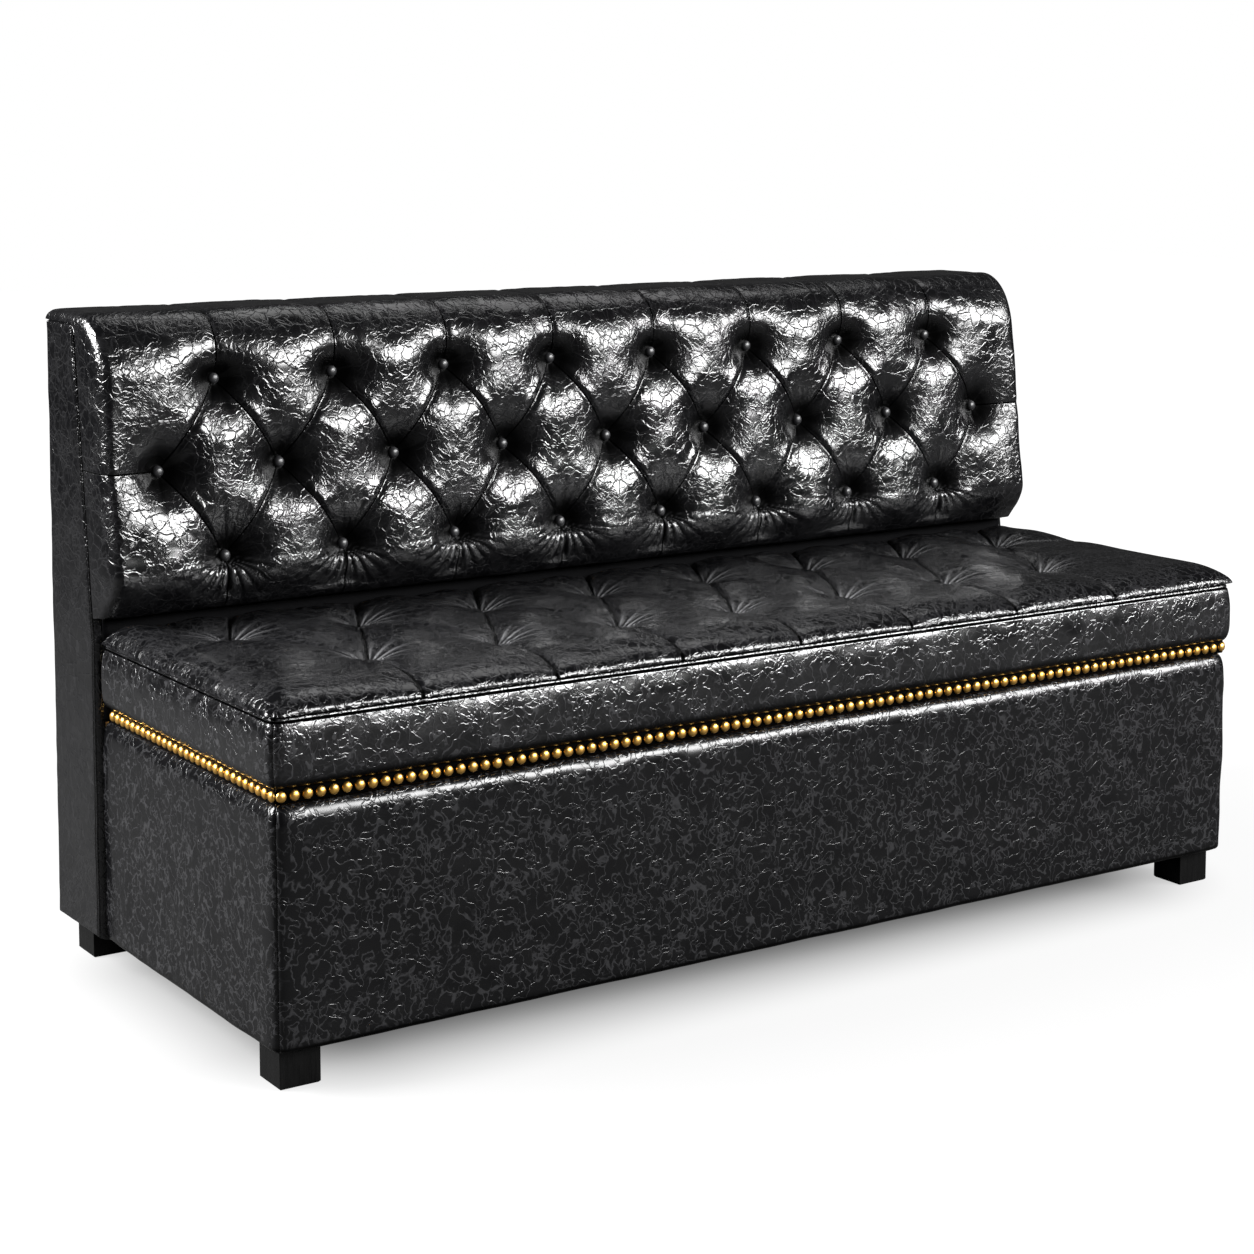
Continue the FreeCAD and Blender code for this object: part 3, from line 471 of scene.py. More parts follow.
def wood(name, pale, dark, ring_mm, gloss, along, shine=0.5):
    """Sawn timber or veneer: stretched noise along the grain in two tones, open pores in the bump."""
    material, tree, shader, place = start_material(name)
    squeeze = [1.0, 1.0, 1.0]
    squeeze[along] = 0.06
    stretched = add(tree, "ShaderNodeMapping", {"Vector": place, "Scale": squeeze})
    grain = add(tree, "ShaderNodeTexNoise", {"Vector": stretched, "Scale": per_metre(ring_mm), "Detail": 6.0,
                                             "Distortion": 0.6})
    pores = add(tree, "ShaderNodeTexNoise", {"Vector": stretched, "Scale": per_metre(0.9), "Detail": 2.0})
    tone = add(tree, "ShaderNodeMapRange", (grain, 0.35, 0.65, 0.0, 1.0))
    face = add(tree, "ShaderNodeMix", {0: tone, 6: linear(pale), 7: linear(dark)}, out=2, data_type="RGBA")
    bump = add(tree, "ShaderNodeBump", {"Height": pores, "Strength": 0.2, "Distance": 0.2 * MM})
    rough = add(tree, "ShaderNodeMapRange", (pores, 0.3, 0.7, gloss - 0.06, gloss + 0.06))
    connect(tree, shader, Base_Color=face, Roughness=rough, Normal=bump)
    shader.inputs["Specular IOR Level"].default_value = shine
    return material


def speckled(name, pale, dark, speck_mm, rough, depth_mm, metallic=0.0):
    """Even material with a fine speckle: pressed board, foam, felt, cloth or plated steel."""
    material, tree, shader, place = start_material(name)
    speck = add(tree, "ShaderNodeTexNoise", {"Vector": place, "Scale": per_metre(speck_mm), "Detail": 4.0})
    tone = add(tree, "ShaderNodeMapRange", (speck, 0.35, 0.65, 0.0, 1.0))
    face = add(tree, "ShaderNodeMix", {0: tone, 6: linear(pale), 7: linear(dark)}, out=2, data_type="RGBA")
    bump = add(tree, "ShaderNodeBump", {"Height": speck, "Strength": 0.4, "Distance": depth_mm * MM})
    uneven = add(tree, "ShaderNodeMapRange", (speck, 0.3, 0.7, rough - 0.08, rough + 0.08))
    connect(tree, shader, Base_Color=face, Roughness=uneven, Normal=bump)
    shader.inputs["Metallic"].default_value = metallic
    return material


def finish(name):
    """A finish made earlier by the finishes operator."""
    return bpy.data.materials[name]


class SOFA_OT_finishes(Operator):
    """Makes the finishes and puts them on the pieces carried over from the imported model."""
    bl_idname = "sofa.finishes"
    bl_label = "Finishes"

    def execute(self, context):
        colours = context.scene.sofa_colours
        # One leather, worked differently for the back, the seat border, the base, the seat top and the strips
        leather = crackle_leather("crackle_faux_leather", colours,
                                  gloss=0.19, ior=1.50, crest_highlight_strength=0.11, crazed=1.0, depth_mm=0.36)
        crackle_leather("boxing_faux_leather", colours,
                        gloss=0.21, ior=1.55, crest_highlight_strength=0.38, crazed=0.2, depth_mm=0.4)
        crackle_leather("rolled_faux_leather", colours,
                        gloss=0.20, ior=1.38, crest_highlight_strength=0.29, crazed=0.0, depth_mm=0.26)
        crackle_leather("creased_faux_leather", colours,
                        gloss=0.17, ior=1.40, crest_highlight_strength=0.30, crazed=0.7, depth_mm=0.42)
        crackle_leather("matte_faux_leather", colours,
                        gloss=0.6, ior=1.1, crest_highlight_strength=0.0, crazed=0.0, depth_mm=0.1)
        carried = {
            "plywood": wood("birch_plywood", "#C9A877", "#B08A58", ring_mm=14, gloss=0.55, along=0),
            "pine": wood("planed_pine", "#D8B883", "#B98A50", ring_mm=9, gloss=0.6, along=0),
            "hardboard": speckled("pressed_hardboard", "#6B4A2E", "#4F3520", 1.5, 0.6, 0.15),
            "black_faux_leather": leather,
            "button_leather": button_leather(colours),
            "foam": speckled("upholstery_foam", "#E3D9B8", "#C9BC93", 1.2, 0.9, 0.4),
            "cambric": speckled("black_cambric", "#17171A", "#0C0C0D", 0.8, 0.9, 0.15),
            "felt": speckled("grey_felt", "#55565A", "#3E3F43", 1.0, 0.95, 0.3),
            "twine": speckled("waxed_twine", "#CFC3A0", "#A89A72", 0.7, 0.7, 0.2),
            "brass": nail_brass(colours),
            "black_feet": wood("black_lacquered_beech", "#080808", "#030303", ring_mm=4, gloss=0.3, along=2,
                               shine=0.2),
            "zinc_steel": speckled("zinc_plated_steel", "#B9BCC0", "#8F9499", 2.5, 0.35, 0.02, metallic=1.0),
            "black_steel": speckled("black_oxide_steel", "#26272A", "#18191B", 3.0, 0.45, 0.03, metallic=1.0),
        }
        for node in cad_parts.values():
            node.data.materials[0] = carried[node.data.materials[0].name.split(".")[0]]
        return {"FINISHED"}


# The deep-buttoned back

# A pleat swells where it laps over: how far from the fold and how wide, in lips, and its share of the depth
LAP_PLACE = 3.0
LAP_WIDTH = 1.6
LAP_SHARE = 0.25
# How close to a fold the leather draws its line of painted shade
FOLD_NEAR = 4 * MM
# How strongly a highlight is painted on the crests of the gathers
GATHER_HIGHLIGHT = 0.9


def on_plane(ahead, up):
    """(y, z) of a distance ahead of the raked front plane and a distance up it from the seat seam."""
    y = slab_front + up * math.sin(lean) - ahead * math.cos(lean)
    z = seam + up * math.cos(lean) + ahead * math.sin(lean)
    return np.stack(np.broadcast_arrays(y, z), -1)


def up_plane(height):
    """Distance up the raked plane at a height."""
    return (height - seam) / math.cos(lean)


def raked_front(height):
    """y of the back's front plane at a height: upright below the seat seam, raked above it."""
    return slab_front + rake * np.clip(height - seam, 0, None)


def over_foam(points):
    """How far points of an outline lie outside the foam, whose upper front edge is rounded."""
    behind, above = points[:, 0] - slab_front, points[:, 1] - seam
    ahead = above * math.sin(lean) - behind * math.cos(lean)
    up = behind * math.sin(lean) + above * math.cos(lean)
    out = np.clip(ahead - foam_ahead + foam_round, 0, None)
    over = np.clip(up - up_plane(frame_top) + foam_round, 0, None)
    return np.hypot(out, over) - foam_round


def button_places(sizes):
    """(x, up) of each button: a wider middle row between two rows set half a pitch in."""
    pitch = 2 * (half_back - sizes.margin) / sizes.columns
    rows = []
    for row in range(3):
        count = sizes.columns + row % 2
        across = (np.arange(count) - (count - 1) / 2) * pitch
        rows.append(np.stack([across, np.full(count, sizes.row_low + row * sizes.row_step)], -1))
    return rows


def back_folds(rows, foot, crown, end):
    """Starts and ends of the fold lines: diagonals between rows, then straight ones down, up and out."""
    bottom, middle, top = rows
    folds = []
    for row in (bottom, top):
        folds.append((row, middle[:-1]))
        folds.append((row, middle[1:]))
    folds.append((bottom, np.stack([bottom[:, 0], np.full(len(bottom), foot)], -1)))
    folds.append((top, np.stack([top[:, 0], np.full(len(top), crown)], -1)))
    outermost = middle[[0, -1]]
    folds.append((outermost, np.stack([np.sign(outermost[:, 0]) * end, outermost[:, 1]], -1)))
    return [np.concatenate(group) for group in zip(*folds)]


def fold_depth(across, up, starts, ends, sizes):
    """Depth of the folds at each place by its distance from fold lines, and the marks of the nearest line.

    Each fold is a soft hollow, and in it a pleat: the cover sinks gently from below a slanting line, drops
    steeply from above it, and swells where it laps over. On an upright or level line both sides are alike.
    """
    shape = np.broadcast(across, up).shape
    depth, lap, nearest, offset = np.zeros(shape), np.zeros(shape), np.full(shape, np.inf), np.zeros(shape)
    for start, end in zip(starts, ends):
        along = end - start
        span = np.hypot(*along)
        beside, above = across - start[0], up - start[1]
        share = np.clip((beside * along[0] + above * along[1]) / span ** 2, 0, 1)
        away = np.hypot(beside - share * along[0], above - share * along[1])
        slant = (above * along[0] - beside * along[1]) / span
        reach = (sizes.pleat_lip + sizes.pleat_reach) / 2
        if min(abs(along)) > WELD:
            slant = np.sign(along[0]) * slant
            reach = np.where(slant > 0, sizes.pleat_lip, sizes.pleat_reach)
            swell = groove(slant - LAP_PLACE * sizes.pleat_lip, LAP_WIDTH * sizes.pleat_lip)
            lap = np.maximum(lap, np.sin(math.pi * share) * swell)
        hollow = sizes.valley * groove(away, sizes.valley_reach)
        depth = np.maximum(depth, hollow + sizes.pleat * groove(away, reach))
        offset = np.where(away < nearest, slant, offset)
        nearest = np.minimum(nearest, away)
    return depth - LAP_SHARE * sizes.pleat * lap, (offset, near_line(nearest, FOLD_NEAR))


def dimple_share(across, up, places, reach, power):
    """Share of the full dimple depth: 1 at a button, falling off as a stretched exponential of distance."""
    share = np.zeros(np.broadcast(across, up).shape)
    for place in places:
        away = np.hypot(across - place[0], up - place[1])
        share = np.maximum(share, np.exp(-(away / reach) ** power))
    return share


def round_button(across, up, place, order, reach, gathers):
    """Places seen from a button: distance in reaches, direction from straight below, and the gathers' wave.

    The wave is 1 in a crease and -1 on a crest. Its count and its start differ from one button to the next.
    """
    beside, above = across - place[0], up - place[1]
    turn = np.arctan2(beside, -above)
    wave = np.cos((gathers + order % 4) * turn + 1.7 * order)
    return np.hypot(beside, above) / reach, turn, wave


def puckers(across, up, places, amount, reach, gathers, lead=np.cos):
    """Depth of the gathers round each button: ridges between narrow creases, strongest where lead is 1."""
    depth = np.zeros(np.broadcast(across, up).shape)
    for order, place in enumerate(places):
        away, turn, wave = round_button(across, up, place, order, reach, gathers)
        strength = 0.3 + 0.7 * np.clip(lead(turn), 0, 1)
        crease = np.exp((wave - 1) / 0.4)
        depth += amount * strength * away * np.exp(1 - away ** 1.4) * (crease - 0.35)
    return depth


def gather_crests(across, up, places, reach, gathers, lead):
    """1 on the crests of those gathers and 0 in their creases, fading with the distance from the button."""
    crests = np.zeros(np.broadcast(across, up).shape)
    for order, place in enumerate(places):
        away, turn, wave = round_button(across, up, place, order, reach, gathers)
        ridge = np.exp((-wave - 1) / 0.3)
        crests = np.maximum(crests, lead(turn) * np.minimum(2 * away, 1) * np.exp(-away ** 2) * ridge)
    return crests


def back_profile(sizes):
    """Outline of the full back from the tucked foot up the front, over the roll and the top to the rear seam.

    Returns (y, z) points and the distance up the front, which runs on as arc length over the roll and top.
    """
    full = sizes.fullness
    foot_up = up_plane(pad_foot)
    face_up = foot_up + sizes.foot_round
    crown = frame_top + sizes.top_rise
    roll_up = up_plane(crown) - sizes.roll
    tuck = full - sizes.foot_tuck
    under = on_plane(np.linspace(0.3 * tuck, tuck, 6)[:-1], foot_up)
    turn = quarter(24)[:-1]
    foot = on_plane(tuck + sizes.foot_tuck * np.sin(turn), foot_up + sizes.foot_round * turn / (math.pi / 2))
    face = on_plane(full, np.linspace(face_up, roll_up, 96)[:-1])
    turn = quarter(60)[:-1]
    roll = on_plane(full * np.cos(turn), roll_up + sizes.roll * np.sin(turn))
    rear_round = sizes.top_rise - 1 * MM
    top_y = np.linspace(roll[-1, 0], slab_rear - rear_round, 12)[1:-1]
    top = np.stack([top_y, np.full_like(top_y, crown)], -1)
    turn = quarter(7)
    rear = np.stack([slab_rear - rear_round + rear_round * np.sin(turn),
                     crown - rear_round + rear_round * np.cos(turn)], -1)
    points = np.concatenate([under, foot, face, roll, top, rear])
    run = np.concatenate([[0], np.cumsum(np.hypot(*np.diff(points, axis=0).T))])
    mark = len(under) + len(foot)
    return points, run - run[mark] + face_up


def rounded_end(points):
    """An outline drawn in to the side panel's edge: the raked front plane, a small round and a level top."""
    corner = 15 * MM
    centre = np.array([raked_front(panel_top - corner) + corner, panel_top - corner])
    y, z = points[:, 0], points[:, 1]
    plane = np.stack([raked_front(z), z], -1)
    flat = np.stack([np.clip(y, None, slab_rear), np.full_like(z, panel_top)], -1)
    reach = points - centre
    arc = centre + corner * reach / np.maximum(np.hypot(*reach.T), TINY)[:, None]
    on_front = (z <= centre[1])[:, None]
    on_top = (y >= centre[0])[:, None]
    return np.where(on_front, plane, np.where(on_top, flat, arc))


def back_depth(sizes, x, t, rows, share, folds):
    """How far the cover lies below the full outline: folds and dimples, gathers and uneven filling.

    Over the roll the cover is tighter and shows fine wrinkles. At the foot and the rear seam it lies flat.
    """
    depth = folds * (1 - share) + sizes.dimple * share
    depth += puckers(x, t, np.concatenate(rows), sizes.pucker, sizes.pucker_reach, sizes.gathers)
    depth += puckers(x, t, rows[0], sizes.fan, sizes.fan_reach, sizes.fan_folds)
    over_roll = np.clip((t - up_plane(frame_top) + sizes.roll) / sizes.roll, 0, 1)
    depth += 1.1 * MM * over_roll * np.clip(soft_noise(x, 0.12 * t, 9 * MM, 7), 0, 1)
    depth -= lumps(x, t, (1.6 * MM, 46 * MM), (0.5 * MM, 15 * MM), 5) * (1 - share)
    fade = rise(t - t[:, :1], 30 * MM) * rise(t[:, -1:] - t, 60 * MM)
    return depth * fade * (1 - 0.5 * over_roll)


def back_inside():
    """(y, z) of the line that closes the cover behind: over the frame, down the foam and in to the board."""
    gap = 0.3 * MM
    foam_up = np.array([up_plane(frame_top) - foam_round - 2 * MM, up_plane(foam_foot)])
    return np.concatenate([
        [[slab_rear - 1 * MM, frame_top + gap]],
        [[raked_front(frame_top), frame_top + gap]],
        on_plane(foam_ahead + gap, foam_up),
        on_plane(np.array([board_ahead + gap]), up_plane(pad_foot) + 1 * MM)])


class SOFA_OT_back(Operator):
    """Deep-buttoned cover of the back.

    A grid of stations across by stations up the outline. Each point is the full outline, sunk along its
    normal by dimples, folds and gathers as far as the foam allows, and drawn in to the side panels by a
    rounding at the ends. An inner line behind it closes the shape.
    """
    bl_idname = "sofa.back"
    bl_label = "Buttoned back"

    def execute(self, context):
        sizes = context.scene.sofa_back
        outline, up = back_profile(sizes)
        across = eased(-half_back, half_back, sizes.flank, 18, 620)
        x, t = across[:, None], up[None, :]
        rows = button_places(sizes)
        share = dimple_share(x, t, np.concatenate(rows), sizes.dimple_reach, 1.5)
        folds, (offset, near) = fold_depth(x, t, *back_folds(rows, up[0], up[-1], half_back), sizes)
        folds *= rise(half_back - np.abs(x), sizes.flat_ends)
        depth = back_depth(sizes, x, t, rows, share, folds)
        depth = np.minimum(depth, np.clip(over_foam(outline) - cover_thick, 0, None))

        tangent = np.gradient(outline, axis=0)
        tangent /= np.hypot(*tangent.T)[:, None]
        normal = np.stack([-tangent[:, 1], tangent[:, 0]], -1)
        full = outline[None] - normal[None] * depth[..., None]
        drawn = rounded_end(outline)
        swell = rise(half_back - np.abs(across), sizes.flank, 3.2)[:, None, None]
        outer = drawn[None] + swell * (full - drawn[None])

        inside = back_inside()
        kept = np.clip((half_back - np.abs(across)) / (half_back - side_inner), 0, 1)[:, None, None]
        closed = rounded_end(inside)[None] + kept * (inside - rounded_end(inside))[None]
        loop = np.concatenate([outer, closed], axis=1)
        points = np.concatenate([np.broadcast_to(x[..., None], loop.shape[:2] + (1,)), loop], -1)
        faces = grid_faces(*points.shape[:2], ring=True)

        # Painted highlight on the crests of the fan folds below the lowest buttons
        gather_highlight = gather_crests(x, t, rows[0], sizes.fan_highlight_reach, sizes.fan_folds, np.cos)
        # In the pits round the buttons the leather is smooth and painted dark as shade, except on the fan
        # crests
        pit_smoothing_and_painted_shade = np.clip(2.2 * share ** 2, 0, 1) * (1 - gather_highlight)
        unseen = np.zeros(closed.shape[:2])
        marks = [np.concatenate([mark, unseen], axis=1) for mark in (offset, near, pit_smoothing_and_painted_shade, GATHER_HIGHLIGHT * gather_highlight)]
        dress("back_buttoned_cover", points, faces, finish("crackle_faux_leather"), "base",
              ["back_tufted_cover"], marks=marks)
        return {"FINISHED"}


class SOFA_OT_buttons(Operator):
    """Covered buttons: each is a dome, an ellipse turned about its axis, with the rim tucked under."""
    bl_idname = "sofa.buttons"
    bl_label = "Buttons"

    def execute(self, context):
        sizes = context.scene.sofa_back
        places = np.concatenate(button_places(sizes))
        seat_ahead = sizes.fullness - sizes.dimple - cover_thick
        climb = np.linspace(-math.pi / 2, math.pi / 2, 15)
        turn = np.linspace(0, 2 * math.pi, 24, endpoint=False)
        radius = sizes.button / 2 * np.cos(climb) ** 0.8
        rim = 0.3 * sizes.button_rise
        out = np.where(climb < 0, rim * np.sin(climb), (sizes.button_rise - rim) * np.sin(climb)) + rim
        side = radius[:, None] * np.cos(turn)
        up = radius[:, None] * np.sin(turn)
        yz = on_plane(seat_ahead + out[None, :, None], places[:, 1, None, None] + up[None])
        x = np.broadcast_to(places[:, 0, None, None] + side[None], yz.shape[:3])
        points = np.concatenate([x[..., None], yz], -1)
        dress("back_covered_buttons", points, copies(places, len(climb), len(turn)),
              finish("satin_button_leather"), "base", ["back_buttons"])
        return {"FINISHED"}


# Plain padded panels of the back

def seam_marks(place, seams, wide=1.0):
    """Marks of sewn lines: how far a place lies past the nearest one, in line widths, and if it is close."""
    offset = np.full(place.shape, np.inf)
    for line in seams:
        offset = np.where(np.abs(place - line) < np.abs(offset), place - line, offset)
    offset = np.where(np.isfinite(offset), offset, 1.0)
    return offset / wide, near_line(np.abs(offset), 1.3 * MM)


def upright(place):
    """Edge of a panel that stands at one place at every height."""
    return lambda heights: np.full_like(heights, place)


def padded_panel(first, last, edge_first, edge_last, thick, rounding, seed, seams=()):
    """Padded panel on a grid that rises as a quarter round from every edge, with sewn lines along one edge.

    first and last bound the panel's height, edge_first and edge_last give its two sides at each height.
    Returns the stations across, the heights, the padding's height above the panel's back and the marks of
    the seams.
    """
    heights = eased(first, last, rounding, 8, 130)
    share = eased(0.0, 1.0, 0.08, 10, 40)
    begin, end = edge_first(heights)[:, None], edge_last(heights)[:, None]
    across = begin + (end - begin) * share[None, :]
    tall = np.broadcast_to(heights[:, None], across.shape)
    edges = rise(across - begin, rounding) * rise(end - across, rounding)
    edges = edges * rise(tall - first, rounding) * rise(last - tall, rounding)
    raised = (thick + lumps(across, tall, (0.7 * MM, 55 * MM), (0.3 * MM, 18 * MM), seed)) * edges
    inward = across - begin
    for place in seams:
        raised = raised - 1.3 * MM * groove(inward - place, 1.2 * MM) * edges
    return across, tall, raised, seam_marks(inward, seams, 1.8)


class SOFA_OT_back_panels(Operator):
    """Side and rear covers of the back: thin padded panels with rounded edges and twin front seams."""
    bl_idname = "sofa.back_panels"
    bl_label = "Back panels"

    def execute(self, context):
        leather = finish("crackle_faux_leather")
        for side, word in ((-1, "left"), (1, "right")):
            y, z, raised, marks = padded_panel(cover_foot, panel_top, raked_front, upright(slab_rear),
                                               half_back - side_inner, rounding=4 * MM, seed=21 + side,
                                               seams=(4 * MM, 10 * MM))
            points = np.stack([side * (side_inner + raised), y, z], -1)
            dress("back_side_panel_" + word, points, closed_sheet(points), leather, "base",
                  ["back_side_cover_" + word], marks=marks)
        x, z, raised, _ = padded_panel(cover_foot, frame_top, upright(-side_inner), upright(side_inner),
                                       slab_rear - rear_inner, rounding=9 * MM, seed=31)
        points = np.stack([x, rear_inner + raised, z], -1)
        dress("back_rear_panel", points, closed_sheet(points), leather, "base",
              ["back_rear_cover"])
        return {"FINISHED"}


class SOFA_OT_lining(Operator):
    """Leather sheet stretched over the back below the pad.

    A grid across by up, with the squares left out where the hinge arms swing, eased by a faint unevenness and
    given its thickness by Solidify.
    """
    bl_idname = "sofa.lining"
    bl_label = "Lining"

    def execute(self, context):
        slot_inner = arm_inner - 2 * MM
        slot_top = pad_foot - 21 * MM
        thick = slab_front - lining_front
        ripple = 0.3 * MM
        inner = np.linspace(-slot_inner, slot_inner, 160)
        outer = np.linspace(post_inner, post_outer + 1.5 * MM, 4)
        across = np.concatenate([-outer[::-1], inner, outer])
        up = np.concatenate([np.linspace(base_top, slot_top, 16), np.linspace(slot_top, pad_foot, 5)[1:]])
        x, z = np.broadcast_arrays(across[:, None], up[None, :])
        y = slab_front - ripple * (1 + soft_noise(x, z, 30 * MM, 81))
        points = np.stack([x, y, z], -1)
        faces = grid_faces(*x.shape)
        middle = points.reshape(-1, 3)[faces].mean(axis=1)
        aside = np.abs(middle[:, 0])
        in_slot = (aside > slot_inner) & (aside < post_inner) & (middle[:, 2] < slot_top)
        piece = dress("back_lining_leather", points, faces[~in_slot], finish("matte_faux_leather"), "base",
                      ["back_lining"])
        shell = piece.modifiers.new("Thickness", "SOLIDIFY")
        shell.thickness = 0.7 * thick
        shell.offset = 0.0
        return {"FINISHED"}


# Bands round the seat and the base

def u_path(half, front, rear, corner, step):
    """U round the left side, the front and the right side with round front corners.

    Returns points, outward normals, the distance along the path, and the distance from the nearer corner.
    """
    side = np.linspace(rear, front + corner, max(2, round((rear - front) / step)))
    span = np.linspace(-half + corner, half - corner, max(2, round(2 * half / step)))
    turn = quarter(9)[1:-1]
    left = np.stack([np.full_like(side, -half), side], -1)
    left_normal = np.broadcast_to([-1.0, 0.0], left.shape)
    bend_normal = np.stack([-np.cos(turn), -np.sin(turn)], -1)
    bend = np.array([-half + corner, front + corner]) + corner * bend_normal
    straight = np.stack([span, np.full_like(span, front)], -1)
    straight_normal = np.broadcast_to([0.0, -1.0], straight.shape)
    flip = np.array([-1.0, 1.0])
    points = np.concatenate([left, bend, straight, (bend * flip)[::-1], (left * flip)[::-1]])
    normals = np.concatenate([left_normal, bend_normal, straight_normal, (bend_normal * flip)[::-1],
                              (left_normal * flip)[::-1]])
    run = np.concatenate([[0], np.cumsum(np.hypot(*np.diff(points, axis=0).T))])
    middle = len(left) + len(turn) // 2
    corner_run = np.minimum(np.abs(run - run[middle]), np.abs(run - run[-1 - middle]))
    return points, normals, run, corner_run


def corner_seam(corner_run):
    """Depth of the seam down a front corner: a sewn line in a wider hollow that it draws in."""
    return (1.8 * MM * groove(corner_run, 1.6 * MM) + 2.5 * MM * groove(corner_run, 14 * MM))[:, None]


def band(name, path, heights, out, inner, body, nodes, finish_name, smooth, seams=()):
    """Profile carried along a U path.

    out is the offset of the face at each path point and height, and inner the offset that closes it behind.
    smooth is the height of the foot, where the leather is stretched, shows no wrinkles and is painted dark as
    shade.
    """
    points, normals = path[:2]
    count = len(points)
    lining = np.broadcast_to(np.array([inner, inner]), (count, 2))
    offset = np.concatenate([out, lining], axis=1)
    tall = np.concatenate([heights, heights[[-1, 0]]])
    flat = points[:, None, :] + normals[:, None, :] * offset[..., None]
    solid = np.concatenate([flat, np.broadcast_to(tall[None, :, None], offset.shape + (1,))], -1)
    columns = solid.shape[1]
    faces = grid_faces(count, columns, ring=True).tolist()
    faces.append(list(range(columns)))
    faces.append(list(range((count - 1) * columns, count * columns))[::-1])
    # The foot is smooth and painted dark as shade
    foot_smoothing_and_painted_shade = near_line(solid[..., 2] - heights.min(), smooth)
    marks = (*seam_marks(solid[..., 2], seams), foot_smoothing_and_painted_shade)
    return dress(name, solid, faces, finish(finish_name), body, nodes,
                 marks=marks)


class SOFA_OT_seat_border(Operator):
    """Boxing of the seat: a padded band with twin seams below its top, corner seams and a tucked foot."""
    bl_idname = "sofa.seat_border"
    bl_label = "Seat border"

    def execute(self, context):
        sizes = context.scene.sofa_seat
        path = u_path(half_seat, seat_front, seat_rear, sizes.corner, step=4 * MM)
        run, corner_run = path[2:]
        tuck = half_seat - half_strip
        upper_seam = seam - 1.2 * MM
        seams = (upper_seam, upper_seam - sizes.seam_gap)
        sewn_foot = seam - 14 * MM
        foot_round = 16 * MM
        fine = np.linspace(seam, sewn_foot, 29)
        middle = np.linspace(sewn_foot, border_foot + foot_round, 16)[1:-1]
        foot = border_foot + foot_round * (1 - np.sin(quarter(9)))
        heights = np.concatenate([fine, middle, foot])
        z = heights[None, :]

        # Full in the middle, tucked in at the foot, and drawn in toward the top in a small and a wide round
        share = (z - border_foot) / (seam - border_foot)
        out = 2.2 * MM * np.sin(math.pi * np.clip(share, 0, 1)) - 1.5 * MM
        out = out - tuck * 0.95 * (1 - rise(z - border_foot, foot_round))
        out = out - 3.0 * MM * (1 - rise(seam - z, 4 * MM)) - 8.0 * MM * (1 - rise(seam - z, 44 * MM))
        for height in seams:
            out = out - sizes.seam_depth * groove(z - height, 0.9 * MM)
        soft = rise(seam - sizes.seam_gap - 4 * MM - z, 10 * MM)
        out = out + soft * lumps(run[:, None], z, (0.8 * MM, 38 * MM), (0.4 * MM, 14 * MM), 41)
        out = out - corner_seam(corner_run)
        band("seat_border_band", path, heights, out, -(half_seat - rail_side), "seat",
             ["seat_border_front", "seat_border_left", "seat_border_right"], "boxing_faux_leather",
             smooth=6 * MM, seams=seams)
        return {"FINISHED"}


class SOFA_OT_nail_strip(Operator):
    """Recessed leather strip that carries the nails: a shallow band, slightly full between its edges."""
    bl_idname = "sofa.nail_strip"
    bl_label = "Nail strip"

    def execute(self, context):
        fullness = 0.5 * MM
        path = u_path(half_strip, strip_front, seat_frame_rear, corner=6 * MM, step=5 * MM)
        heights = np.linspace(border_foot, strip_foot, 9)
        share = (heights - strip_foot) / (border_foot - strip_foot)
        out = np.broadcast_to(fullness * (np.sin(math.pi * share) - 1), (len(path[0]), len(heights)))
        band("seat_nail_strip", path, heights, out, -(half_strip - rail_side), "seat",
             ["nail_band_front", "nail_band_left", "nail_band_right"], "matte_faux_leather", smooth=20 * MM)
        return {"FINISHED"}


class SOFA_OT_base_cover(Operator):
    """Cover of the base: a padded band with a full rounded top edge and seams down both front corners."""
    bl_idname = "sofa.base_cover"
    bl_label = "Base cover"

    def execute(self, context):
        sizes = context.scene.sofa_seat
        path = u_path(half_base, base_front, slab_front, sizes.corner, step=5 * MM)
        run, corner_run = path[2:]
        thick = half_base - panel_side
        top_round, foot_round = sizes.base_round, sizes.base_foot
        top = base_top - top_round * (1 - np.cos(quarter(12)))
        middle = np.linspace(base_top - top_round, cover_foot + foot_round, 52)[1:-1]
        foot = cover_foot + foot_round * (1 - np.sin(quarter(6)))
        heights = np.concatenate([top, middle, foot])
        z = heights[None, :]
        out = -0.95 * thick * (1 - rise(base_top - z, top_round))
        out = out - 5 * MM * (1 - rise(z - cover_foot, foot_round)) - 1.0 * MM
        out = out + lumps(run[:, None], z, (1.0 * MM, 60 * MM), (0.5 * MM, 20 * MM), 51)
        out = out - corner_seam(corner_run)
        band("base_cover_band", path, heights, out, -thick, "base",
             ["base_cover_front", "base_cover_left", "base_cover_right"], "rolled_faux_leather",
             smooth=4 * MM)
        return {"FINISHED"}


# The tufted seat

# How much wider the slits of the seat are drawn, as groove and painted shade, than a seam
SLIT_WIDTH = 2.4
# Depth of the soft folds against the slits
SOFT_SHARE = 0.7


def tuft_rows(sizes):
    """(x, y) of the blind tufts: a rear row, and a front row between its columns."""
    pitch = 2 * (half_seat - sizes.margin) / (sizes.columns - 1)
    rows = []
    for count, behind in ((sizes.columns, sizes.row_rear), (sizes.columns - 1, sizes.row_front)):
        across = (np.arange(count) - (count - 1) / 2) * pitch
        rows.append(np.stack([across, np.full(count, base_front + behind)], -1))
    return rows


